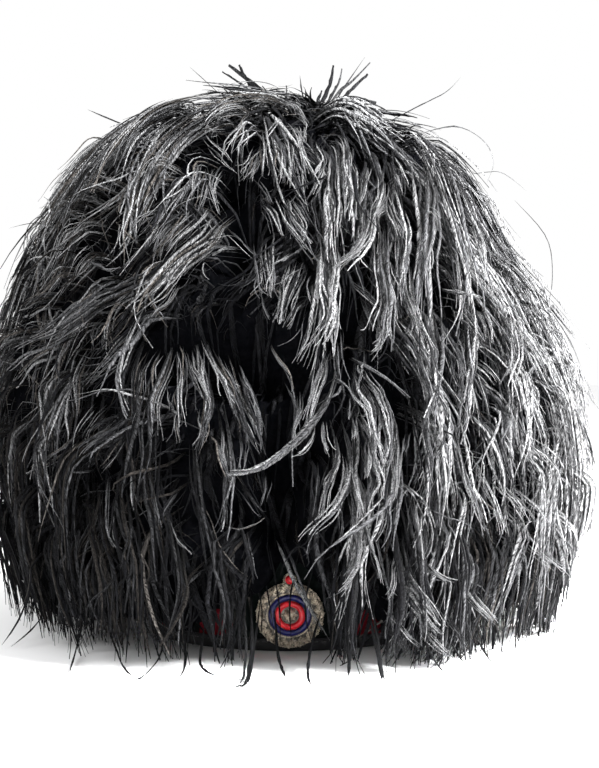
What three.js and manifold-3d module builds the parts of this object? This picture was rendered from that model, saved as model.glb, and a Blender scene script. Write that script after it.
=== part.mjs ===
// A feather bonnet: a hollow cloth crown dressed in four rows of ostrich feathers, with a diced head band,
// a bound rim and a round bullion badge at the front. Millimetres, +Z up, the wearer's front towards -Y,
// the origin on the table under the middle of the head opening.
import * as THREE from 'three';
import { mergeVertices } from 'three/addons/utils/BufferGeometryUtils.js';
import Module from 'manifold-3d';

const wasm = await Module();
wasm.setup();

// Head opening and walls
const HEAD_WIDTH = 168;
const HEAD_LENGTH = 200;
const CLOTH_WALL = 2;
const BAND_WALL = 2;
const GAP = 0.3;
const HALF_HEAD = HEAD_WIDTH / 2;
const LONGER_BY = (HEAD_LENGTH - HEAD_WIDTH) / 2;
const SIDES = 36;

// Rim binding and head band
const RIM_HEIGHT = 7;
const RIM_WALL = 1.2;
const RIM_FLOOR = 2;
const BAND_HEIGHT = 57;
const SEAT_HEIGHT = RIM_FLOOR + GAP;
const BAND_TOP = SEAT_HEIGHT + BAND_HEIGHT;

// Half width and height of the crown's outer cloth, from the seat on the rim up to the top
const CROWN_SECTIONS = [
  { half: HALF_HEAD + CLOTH_WALL, height: SEAT_HEIGHT },
  { half: 87, height: BAND_TOP },
  { half: 96, height: 104 },
  { half: 103, height: 150 },
  { half: 103, height: 190 },
  { half: 95, height: 222 },
  { half: 77, height: 244 },
  { half: 46, height: 257 },
  { half: 0, height: 262 },
];

// Half width and height of the dressed bonnet's outline, from the table up to the top
const OUTLINE_SECTIONS = [
  { half: 173, height: 0 },
  { half: 181, height: 45 },
  { half: 184, height: 104 },
  { half: 176, height: 165 },
  { half: 160, height: 226 },
  { half: 135, height: 272 },
  { half: 100, height: 303 },
  { half: 53, height: 323 },
  { half: 0, height: 330 },
];

// Steps in which the crown's side is drawn, from the top down to the rim
const CROWN_STEPS = 16;

// Shape along a lock: how far it has risen from the crown to the outline
const LOCK_STATIONS = [
  { along: 0.18, rise: 0.66 },
  { along: 0.42, rise: 0.9 },
  { along: 0.72, rise: 0.985 },
  { along: 1.0, rise: 1.0 },
];

// Thickness along a lock in millimetres: of a thin lock, and of the hem, which is backed by short flues round the band
const THIN_LOCK = [
  { along: 0.18, thick: 16 },
  { along: 0.42, thick: 11 },
  { along: 0.72, thick: 7 },
];
const BACKED_LOCK = [
  { along: 0.18, thick: 18 },
  { along: 0.42, thick: 34 },
  { along: 0.72, thick: 52 },
  { along: 0.95, thick: 48 },
];

// Rows of feathers, from the top down. Root and mat count steps of the crown: where the row's sewn backing starts and
// how many steps it covers. Tip and notch are shares of the way down the outline: where the locks' points end, and how
// much higher the cuts between two locks end.
const FEATHER_ROWS = [
  { name: 'feather_cap', locks: 18, turn: 0.5, root: 0, mat: 3, tip: 0.47, notch: 0.13, depth: THIN_LOCK },
  { name: 'feather_upper', locks: 22, turn: 0.0, root: 4, mat: 2, tip: 0.66, notch: 0.12, depth: THIN_LOCK },
  { name: 'feather_lower', locks: 26, turn: 0.0, root: 7, mat: 2, tip: 0.835, notch: 0.12, depth: THIN_LOCK },
  { name: 'feather_hem', locks: 30, turn: 0.0, root: 10, mat: 3, tip: 0.993, notch: 0.1, depth: BACKED_LOCK },
];
const MAT_WALL = 4;
const TABLE_CLEARANCE = 1;

// Shape across a lock, from one cut to the next: share of its width, how full it stands and how far down it reaches
const LOCK_COLUMNS = [
  { across: 0.0, full: 0.0, down: 0.0 },
  { across: 0.36, full: 0.9, down: 0.7 },
  { across: 0.68, full: 1.0, down: 1.0 },
];
const CUT_DEPTH = 0.17;
const SWAY = 0.25;
const REACH_JITTER = 0.05;
const TIP_JITTER = 0.035;

// The feathers part at the front, above the badge and round it
const PARTING_DEG = 8.5;
const PARTING_DEPTH = 0.42;
const PARTING_FROM = 0.62;
const PARTING_FULL = 0.9;
const BADGE_CLEAR_DEG = 8;
const BADGE_SKIRT_DEG = 19;
const BADGE_CLEAR_TIP = 0.875;

// Badge, measured flat and then bent round the band
const BADGE_RADIUS = 18;
const BADGE_HEIGHT = 20;
const SEAT_RADIUS = 12;
const RIM_STEP = 1.8;
const PLATE_THICK = 1;
const PLATE_FRONT = RIM_STEP + PLATE_THICK;
const WREATH_INNER = 11.6;
const WREATH_RISE = 2.8;
const WREATH_COILS = 20;
const COIL_DEPTH = 0.9;
const BLUE_OUTER = 11.2;
const BLUE_INNER = 8.2;
const RED_INNER = 4.7;
const ENAMEL_THICK = 1.3;
const ENAMEL_SIDES = 30;
const STAR_POINTS = 8;
const STAR_OUTER = 4.3;
const STAR_INNER = 2.6;
const STAR_EDGE = 0.9;
const STAR_RISE = 2.2;
const CREST_RADIUS = 3.6;
const CREST_SEAT = 19.4;
const CREST_THICK = 1.6;
const STONE_RADIUS = 2.6;
const STONE_RISE = 1.9;
const STONE_SIDES = 14;

const BLACK_CLOTH = new THREE.MeshStandardMaterial({ color: 0x0b0b0d, roughness: 0.95 });
const BLACK_LEATHER = new THREE.MeshStandardMaterial({ color: 0x141416, roughness: 0.55 });
const DICED_WOOL = new THREE.MeshStandardMaterial({ color: 0x7a1220, roughness: 0.9 });
const FEATHER = new THREE.MeshStandardMaterial({ color: 0x2a292b, roughness: 0.6 });
const GILT = new THREE.MeshStandardMaterial({ color: 0xa8894f, roughness: 0.4, metalness: 0.9 });
const RED_ENAMEL = new THREE.MeshStandardMaterial({ color: 0xb01522, roughness: 0.15 });
const BLUE_ENAMEL = new THREE.MeshStandardMaterial({ color: 0x1a1f66, roughness: 0.15 });

const bonnet = new THREE.Group();

// Half length of the oval whose half width is given: longer than wide by the head's own difference
function halfLength(half) {
  return half + LONGER_BY * Math.min(1, half / HALF_HEAD);
}

// A point on the oval of that half width, at an angle from the front towards the right
function ovalPoint(half, height, angle) {
  return new THREE.Vector3(half * Math.sin(angle), -halfLength(half) * Math.cos(angle), height);
}

// Repeatable scatter from -1 to 1
function scatter(index, salt) {
  const wave = Math.sin(index * 12.9898 + salt * 78.233) * 43758.5453;
  return 2 * (wave - Math.floor(wave)) - 1;
}

function solidFrom(geometry) {
  const bare = new THREE.BufferGeometry();
  bare.setAttribute('position', geometry.getAttribute('position'));
  bare.setIndex(geometry.getIndex());
  const merged = mergeVertices(bare, 1e-3);
  const mesh = new wasm.Mesh({
    numProp: 3,
    vertProperties: merged.getAttribute('position').array,
    triVerts: new Uint32Array(merged.getIndex().array),
  });
  return new wasm.Manifold(mesh);
}

function geometryFrom(solid) {
  const mesh = solid.getMesh();
  const geometry = new THREE.BufferGeometry();
  geometry.setAttribute('position', new THREE.BufferAttribute(new Float32Array(mesh.vertProperties), 3));
  geometry.setIndex(new THREE.BufferAttribute(new Uint32Array(mesh.triVerts), 1));
  geometry.computeVertexNormals();
  return geometry;
}

function addPiece(name, geometry, material) {
  const piece = new THREE.Mesh(geometry, material);
  piece.name = name;
  bonnet.add(piece);
}

// Turns a profile of half widths and heights round the oval. The profile runs so that material is on its left
// and starts and ends on the axis, or closes on itself.
function ovalLathe(profile, sides) {
  const points = profile.map((p) => new THREE.Vector2(p.half, p.height));
  const geometry = new THREE.LatheGeometry(points, sides);
  geometry.rotateX(Math.PI / 2);
  const position = geometry.getAttribute('position');
  for (let i = 0; i < position.count; i += 1) {
    const half = Math.hypot(position.getX(i), position.getY(i));
    const stretch = half > 0 ? halfLength(half) / half : 1;
    position.setY(i, position.getY(i) * stretch);
  }
  return geometry;
}

function closedRing(profile, sides) {
  return ovalLathe([...profile, profile[0]], sides);
}

// The same profile, a wall thickness further in or out along its normals
function offsetProfile(sections, distance) {
  return sections.map((section, i) => {
    if (section.half === 0) {
      return { half: 0, height: section.height + distance };
    }
    const before = sections[Math.max(i - 1, 0)];
    const after = sections[Math.min(i + 1, sections.length - 1)];
    const run = new THREE.Vector2(after.half - before.half, after.height - before.height).normalize();
    const level = i === 0;
    return {
      half: section.half + (level ? distance : run.y * distance),
      height: section.height - (level ? 0 : run.x * distance),
    };
  });
}

function profileCurve(sections) {
  const points = sections.map((s) => new THREE.Vector2(s.half, s.height));
  return new THREE.SplineCurve(points.reverse());
}

const crownCurve = profileCurve(CROWN_SECTIONS);
const outlineCurve = profileCurve(OUTLINE_SECTIONS);

function crownStep(step) {
  return crownCurve.getPointAt(step / CROWN_STEPS);
}

function makeCrown() {
  const outer = [];
  for (let step = CROWN_STEPS; step >= 0; step -= 1) {
    const at = crownStep(step);
    outer.push({ half: at.x, height: at.y });
  }
  const inner = offsetProfile(outer, -CLOTH_WALL);
  addPiece('crown', ovalLathe([...inner].reverse().concat(outer), SIDES), BLACK_CLOTH);
}

function makeDicedBand() {
  const inside = HALF_HEAD + CLOTH_WALL + GAP;
  const flare = CROWN_SECTIONS[1].half - CROWN_SECTIONS[0].half;
  const profile = [
    { half: inside, height: SEAT_HEIGHT },
    { half: inside + BAND_WALL, height: SEAT_HEIGHT },
    { half: inside + BAND_WALL + flare, height: BAND_TOP },
    { half: inside + flare, height: BAND_TOP },
  ];
  addPiece('diced_band', closedRing(profile, SIDES), DICED_WOOL);
}

function makeRimBinding() {
  const inside = HALF_HEAD - GAP;
  const outside = HALF_HEAD + CLOTH_WALL + BAND_WALL + 3 * GAP;
  const profile = [
    { half: inside - RIM_WALL, height: 0 },
    { half: outside + RIM_WALL, height: 0 },
    { half: outside + RIM_WALL, height: RIM_HEIGHT },
    { half: outside, height: RIM_HEIGHT },
    { half: outside, height: RIM_FLOOR },
    { half: inside, height: RIM_FLOOR },
    { half: inside, height: RIM_HEIGHT },
    { half: inside - RIM_WALL, height: RIM_HEIGHT },
  ];
  addPiece('rim_binding', closedRing(profile, SIDES), BLACK_LEATHER);
}

// A closed surface through sections that hold the same number of points, the last joined to the first. Sections
// that end on the axis share those two points, and others close on themselves.
function sweptSurface(sections, endsOnAxis) {
  const count = sections[0].length;
  const faces = [];
  const spans = endsOnAxis ? count - 1 : count;
  sections.forEach((section, i) => {
    const here = i * count;
    const next = ((i + 1) % sections.length) * count;
    for (let j = 0; j < spans; j += 1) {
      const k = (j + 1) % count;
      const startsOnAxis = endsOnAxis && j === 0;
      const stopsOnAxis = endsOnAxis && k === count - 1;
      if (!startsOnAxis) {
        faces.push(here + j, next + j, here + k);
      }
      if (!stopsOnAxis) {
        faces.push(here + k, next + j, next + k);
      }
    }
  });
  const geometry = new THREE.BufferGeometry();
  const positions = sections.flat().flatMap((p) => p.toArray());
  geometry.setAttribute('position', new THREE.Float32BufferAttribute(positions, 3));
  geometry.setIndex(faces);
  const solid = solidFrom(geometry);
  const turned = solid.volume() < 0 ? faces.toReversed() : faces;
  geometry.setIndex(turned);
  geometry.computeVertexNormals();
  return mergeVertices(geometry, 1e-3);
}

// How far the feathers fall back at this angle and share of the way down, where they part at the front
function partingAt(angle, share) {
  const across = THREE.MathUtils.radToDeg(angle) / PARTING_DEG;
  const down = THREE.MathUtils.smoothstep(share, PARTING_FROM, PARTING_FULL);
  return PARTING_DEPTH * down * Math.exp(-across * across);
}

// How far down a lock may come at this angle, so that the badge stays clear
function lowestTip(angle) {
  const across = Math.abs(THREE.MathUtils.radToDeg(angle));
  const beside = THREE.MathUtils.smoothstep(across, BADGE_CLEAR_DEG, BADGE_SKIRT_DEG);
  return THREE.MathUtils.lerp(BADGE_CLEAR_TIP, 1, beside);
}

// A point at a distance out from the crown, on the way to the outline
function outFromCrown(share, distance) {
  const from = crownCurve.getPointAt(share);
  const to = outlineCurve.getPointAt(share);
  return from.lerp(to, distance / from.distanceTo(to));
}

function featherDepth(share) {
  return crownCurve.getPointAt(share).distanceTo(outlineCurve.getPointAt(share));
}

// How far a lock has risen at a share of its full length
function riseAt(along) {
  const next = LOCK_STATIONS.findIndex((station) => station.along >= along - 1e-9);
  const after = LOCK_STATIONS[next];
  const before = next > 0 ? LOCK_STATIONS[next - 1] : { along: 0, rise: 0 };
  return THREE.MathUtils.mapLinear(along, before.along, after.along, before.rise, after.rise);
}

// The section of a row at one angle: out along the locks' tops to their points, back underneath, and round the mat
function rowSection(row, angle, column, lock) {
  const repeat = lock % (row.locks / 2);
  const root = row.root / CROWN_STEPS;
  const isCap = row.root === 0;
  const sway = SWAY * scatter(repeat, row.root + 1) * ((2 * Math.PI) / row.locks);
  const full = (1 + REACH_JITTER * Math.min(0, scatter(repeat, row.tip))) * (1 - CUT_DEPTH * (1 - column.full));
  const shorter = TIP_JITTER * column.down * Math.max(0, scatter(repeat, row.locks));
  const tip = Math.min(row.tip - shorter - row.notch * (1 - column.down), lowestTip(angle));

  const onLock = (station, inward) => {
    const share = THREE.MathUtils.lerp(root, tip, station.along);
    const kept = 1 - partingAt(angle, share);
    const rise = (isCap ? 1 : riseAt((share - root) / (row.tip - root))) * full * kept;
    const distance = Math.max(rise * featherDepth(share) - inward * kept, MAT_WALL + GAP);
    const at = outFromCrown(share, distance);
    return ovalPoint(at.x, Math.max(at.y, TABLE_CLEARANCE), angle + sway * station.along * column.full);
  };
  const onMat = (step, distance) => {
    const at = outFromCrown(step / CROWN_STEPS, distance);
    return ovalPoint(at.x, at.y, angle);
  };

  const over = LOCK_STATIONS.map((station) => onLock(station, 0));
  const under = row.depth.map((station) => onLock(station, station.thick)).reverse();
  const matEnd = onMat(row.root + row.mat, MAT_WALL + GAP);
  const mat = [];
  for (let step = row.root + row.mat; step > row.root; step -= 1) {
    mat.push(onMat(step, GAP));
  }
  if (isCap) {
    const top = new THREE.Vector3(0, 0, outlineCurve.getPointAt(0).y);
    const seat = new THREE.Vector3(0, 0, crownCurve.getPointAt(0).y + GAP);
    return [top, ...over, ...under.slice(0, 2), matEnd, ...mat, seat];
  }
  return [onMat(row.root, GAP), onMat(row.root, MAT_WALL + GAP), ...over, ...under, matEnd, ...mat];
}

function makeFeatherRow(row) {
  const sections = [];
  for (let lock = 0; lock < row.locks; lock += 1) {
    for (const column of LOCK_COLUMNS) {
      const turn = ((lock + row.turn + column.across) / row.locks) * 2 * Math.PI;
      const angle = turn > Math.PI ? turn - 2 * Math.PI : turn;
      sections.push(rowSection(row, angle, column, lock));
    }
  }
  addPiece(row.name, sweptSurface(sections, row.root === 0), FEATHER);
}

// A point of the badge: across, up and out from the band's face, bent round it
function onBand(across, up, out) {
  const height = BADGE_HEIGHT + up;
  const flare = CROWN_SECTIONS[1].half - CROWN_SECTIONS[0].half;
  const lift = (height - SEAT_HEIGHT) / BAND_HEIGHT;
  const half = HALF_HEAD + CLOTH_WALL + BAND_WALL + GAP + flare * lift;
  const angle = across / half;
  const face = ovalPoint(half, height, angle);
  const normal = new THREE.Vector3(Math.sin(angle) / half, -Math.cos(angle) / halfLength(half), 0).normalize();
  return face.addScaledVector(normal, GAP + out);
}

// A piece turned about the badge's middle, or about a point above it: the profile gives radius and rise at each column
function badgeTurned(columns, profileAt, endsOnAxis, above = 0) {
  const sections = [];
  for (let column = 0; column < columns; column += 1) {
    const angle = (column / columns) * 2 * Math.PI;
    const profile = profileAt(column);
    sections.push(profile.map((p) => onBand(p.radius * Math.sin(angle), above + p.radius * Math.cos(angle), p.rise)));
  }
  return sweptSurface(sections, endsOnAxis);
}

// The wreath is seated on the band by a small disc, and its edge stands in front of the rim binding
function makeBadgeWreath() {
  const middle = (WREATH_INNER + BADGE_RADIUS) / 2;
  const shoulder = (BADGE_RADIUS - WREATH_INNER) / 4;
  const columnsPerCoil = 3;
  const wreath = badgeTurned(WREATH_COILS * columnsPerCoil, (column) => {
    const dip = column % columnsPerCoil === 0 ? COIL_DEPTH : 0;
    return [
      { radius: 0, rise: 0 },
      { radius: SEAT_RADIUS, rise: 0 },
      { radius: SEAT_RADIUS, rise: RIM_STEP },
      { radius: BADGE_RADIUS - dip, rise: RIM_STEP },
      { radius: BADGE_RADIUS - dip, rise: PLATE_FRONT },
      { radius: middle + shoulder, rise: PLATE_FRONT + WREATH_RISE - dip },
      { radius: middle - shoulder, rise: PLATE_FRONT + WREATH_RISE - dip },
      { radius: WREATH_INNER, rise: PLATE_FRONT },
      { radius: 0, rise: PLATE_FRONT },
    ];
  }, true);
  const crest = badgeTurned(STONE_SIDES, () => [
    { radius: 0, rise: 0 },
    { radius: CREST_RADIUS, rise: 0 },
    { radius: CREST_RADIUS, rise: RIM_STEP + CREST_THICK },
    { radius: 0, rise: RIM_STEP + CREST_THICK },
  ], true, CREST_SEAT);
  addPiece('badge_wreath', geometryFrom(solidFrom(wreath).add(solidFrom(crest))), GILT);
}

function makeEnamelRing(name, inner, outer, material) {
  const seat = PLATE_FRONT + GAP;
  const ring = badgeTurned(ENAMEL_SIDES, () => [
    { radius: inner, rise: seat },
    { radius: outer, rise: seat },
    { radius: outer, rise: seat + ENAMEL_THICK / 2 },
    { radius: (inner + outer) / 2, rise: seat + ENAMEL_THICK },
    { radius: inner, rise: seat + ENAMEL_THICK / 2 },
  ], false);
  addPiece(name, ring, material);
}

function makeBadgeStar() {
  const seat = PLATE_FRONT + GAP;
  const star = badgeTurned(2 * STAR_POINTS, (column) => {
    const radius = column % 2 === 0 ? STAR_OUTER : STAR_INNER;
    return [
      { radius: 0, rise: seat },
      { radius, rise: seat },
      { radius, rise: seat + STAR_EDGE },
      { radius: 0, rise: seat + STAR_RISE },
    ];
  }, true);
  addPiece('badge_star', star, GILT);
}

function makeBadgeStone() {
  const seat = RIM_STEP + CREST_THICK + GAP;
  const stone = badgeTurned(STONE_SIDES, () => [
    { radius: 0, rise: seat },
    { radius: STONE_RADIUS, rise: seat },
    { radius: STONE_RADIUS * 0.75, rise: seat + STONE_RISE * 0.7 },
    { radius: 0, rise: seat + STONE_RISE },
  ], true, CREST_SEAT);
  addPiece('badge_stone', stone, RED_ENAMEL);
}

makeCrown();
makeDicedBand();
makeRimBinding();
FEATHER_ROWS.forEach(makeFeatherRow);
makeBadgeWreath();
makeEnamelRing('badge_blue', BLUE_INNER, BLUE_OUTER, BLUE_ENAMEL);
makeEnamelRing('badge_red', RED_INNER, BLUE_INNER - GAP, RED_ENAMEL);
makeBadgeStar();
makeBadgeStone();

export default bonnet;
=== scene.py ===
"""A feather bonnet: ostrich flues in tiers over a black cloth crown, with a diced band, a bound rim and a badge."""

import math

import bmesh
import bpy
import numpy as np
from mathutils import Euler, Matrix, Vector


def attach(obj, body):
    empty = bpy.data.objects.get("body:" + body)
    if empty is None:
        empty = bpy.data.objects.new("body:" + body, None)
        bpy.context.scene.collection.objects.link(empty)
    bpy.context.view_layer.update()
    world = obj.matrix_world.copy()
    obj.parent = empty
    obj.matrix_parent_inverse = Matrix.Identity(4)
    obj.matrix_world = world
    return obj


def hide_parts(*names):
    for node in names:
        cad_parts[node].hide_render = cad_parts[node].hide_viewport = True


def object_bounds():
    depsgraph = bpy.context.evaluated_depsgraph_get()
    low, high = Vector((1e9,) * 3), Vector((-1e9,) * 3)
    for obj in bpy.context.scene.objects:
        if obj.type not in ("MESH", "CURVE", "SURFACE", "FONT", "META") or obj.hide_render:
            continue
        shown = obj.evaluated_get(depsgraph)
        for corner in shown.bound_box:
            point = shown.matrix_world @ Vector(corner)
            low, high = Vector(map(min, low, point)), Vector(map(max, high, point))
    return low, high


bl_info = {
    "name": "Feather Bonnet",
    "version": (1, 0, 0),
    "blender": (4, 5, 0),
    "location": "View3D > Sidebar > Bonnet",
    "description": "Dresses a bonnet in ostrich flues and finishes its cloth, leather and badge",
    "category": "Object",
}

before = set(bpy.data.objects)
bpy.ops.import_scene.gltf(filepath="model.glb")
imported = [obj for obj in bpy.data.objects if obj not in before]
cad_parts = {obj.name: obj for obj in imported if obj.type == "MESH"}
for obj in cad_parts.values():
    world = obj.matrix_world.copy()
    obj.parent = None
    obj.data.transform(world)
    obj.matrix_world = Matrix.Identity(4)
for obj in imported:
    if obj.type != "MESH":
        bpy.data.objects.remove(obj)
SOLID_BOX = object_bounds()

# All the making below is in millimetres, and meshes are stored in metres
METRES = 0.001
GAP = 0.3
HALF_HEAD = 84.0
LONGER_BY = 16.0
BAND_FOOT = 2.3
BAND_TOP = 59.3
BAND_FACE = 88.3
BAND_FLARE = 1.0
TABLE_CLEARANCE = 1.0
BADGE_MIDDLE = 20.0
RIM_STEP = 1.8
CREST_UP = 19.4

# Half width and height from the top down: the crown's cloth, and the outline of the feathers
CROWN = [(0, 262), (46, 257), (77, 244), (95, 222), (103, 190), (103, 150), (96, 104), (87, 59.3), (86, 2.3)]
OUTLINE = [(0, 330), (53, 323), (100, 303), (135, 272), (160, 226), (176, 165), (184, 104), (181, 45), (173, 0)]

# Rings of locks: piece, share of the way down, spacing round the ring, length, broad and thin flues in a lock
TIERS = [
    ("cap_feathers", 0.002, 9.0, 80.0, 7, 6),
    ("cap_feathers", 0.015, 12.0, 105.0, 7, 6),
    ("cap_feathers", 0.05, 14.0, 110.0, 7, 6),
    ("cap_feathers", 0.10, 15.5, 115.0, 7, 6),
    ("cap_feathers", 0.155, 16.5, 115.0, 7, 6),
    ("cap_feathers", 0.21, 17.0, 115.0, 7, 6),
    ("upper_feathers", 0.265, 17.0, 110.0, 7, 6),
    ("upper_feathers", 0.32, 17.0, 110.0, 7, 6),
    ("upper_feathers", 0.38, 17.5, 110.0, 7, 6),
    ("lower_feathers", 0.44, 19.0, 105.0, 7, 6),
    ("lower_feathers", 0.51, 20.0, 105.0, 7, 6),
    ("lower_feathers", 0.58, 20.0, 100.0, 7, 6),
    ("hem_feathers", 0.65, 21.0, 100.0, 7, 6),
    ("hem_feathers", 0.72, 20.0, 105.0, 7, 6),
    ("hem_feathers", 0.79, 20.0, 108.0, 7, 6),
]
# Colour and roughness of the flues' tones: three blacks, three greys, two faded browns. The deepest blacks are painted
# shade for flues deep in the mass, and the greys up to silver are painted sheen and light on black flues
TONES = [
    ((0.0014, 0.0015, 0.0020), 0.75),
    ((0.0040, 0.0041, 0.0048), 0.65),
    ((0.0115, 0.0117, 0.0126), 0.55),
    ((0.050, 0.0505, 0.053), 0.46),
    ((0.112, 0.1125, 0.115), 0.42),
    ((0.148, 0.149, 0.152), 0.40),
    ((0.0105, 0.0093, 0.0084), 0.6),
    ((0.047, 0.0430, 0.0396), 0.5),
]

# Painted light and shade at the front, as lighter and darker places: across, as a share of half the width, and up,
# their spreads, the change
PAINTED_LIGHT_PLACES = [
    (-0.72, 225, 0.22, 45, 1.4),
    (-0.32, 235, 0.16, 45, -1.4),
    (-0.28, 140, 0.20, 60, -0.6),
    (0.10, 170, 0.18, 110, -0.4),
    (0.06, 235, 0.30, 75, -1.9),
    (0.66, 80, 0.16, 38, 0.8),
    (-0.75, 110, 0.25, 40, 0.45),
    (0.26, 130, 0.15, 55, 0.9),
    (0.50, 185, 0.12, 35, -1.0),
    (-0.28, 45, 0.20, 40, -1.0),
    (0.34, 285, 0.14, 25, -0.6),
    (0.57, 240, 0.14, 30, 0.9),
    (-0.14, 303, 0.14, 12, -1.6),
]

REPLACED = {
    "cap_feathers": "feather_cap",
    "upper_feathers": "feather_upper",
    "lower_feathers": "feather_lower",
    "hem_feathers": "feather_hem",
}

# Places where the flues sweep aside: azimuth and share, their spreads, and the lean in degrees, right positive
SWEEPS = [
    (-35, 0.27, 22, 0.08, -38),
    (-50, 0.36, 20, 0.10, -22),
    (-18, 0.50, 15, 0.05, -38),
    (-38, 0.57, 18, 0.06, -34),
    (-62, 0.62, 18, 0.10, -25),
    (-30, 0.74, 14, 0.09, -20),
    (-10, 0.70, 8, 0.10, 16),
    (11, 0.72, 8, 0.09, -14),
    (8, 0.83, 9, 0.06, -20),
    (45, 0.35, 25, 0.10, 8),
    (62, 0.75, 25, 0.12, 10),
    (150, 0.45, 30, 0.15, 20),
    (-130, 0.60, 30, 0.15, -18),
]

# Hollows between the locks: azimuth and share, their spreads, and how deep they fall back
HOLLOWS = [
    (-9, 0.605, 13, 0.042, 0.65),
    (-2, 0.71, 6.5, 0.085, 0.60),
    (17, 0.66, 4, 0.035, 0.35),
    (0, 0.95, 7.5, 0.06, 0.60),
    (-9, 0.45, 6, 0.035, 0.55),
    (-14, 0.36, 4, 0.022, 0.45),
    (2, 0.58, 2.5, 0.025, 0.40),
    (4, 0.70, 2.5, 0.030, 0.45),
    (9.5, 0.735, 3.2, 0.050, 0.40),
    (10, 0.568, 3, 0.030, 0.50),
    (16, 0.48, 1.8, 0.020, 0.40),
    (19, 0.68, 2.5, 0.022, 0.45),
    (-24, 0.61, 4, 0.025, 0.40),
    (-33, 0.775, 4, 0.030, 0.40),
    (-13, 0.80, 6, 0.035, 0.50),
    (-4, 0.80, 5, 0.040, 0.50),
]
PIT_COUNT = 20
PIT_SEED = 5
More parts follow.
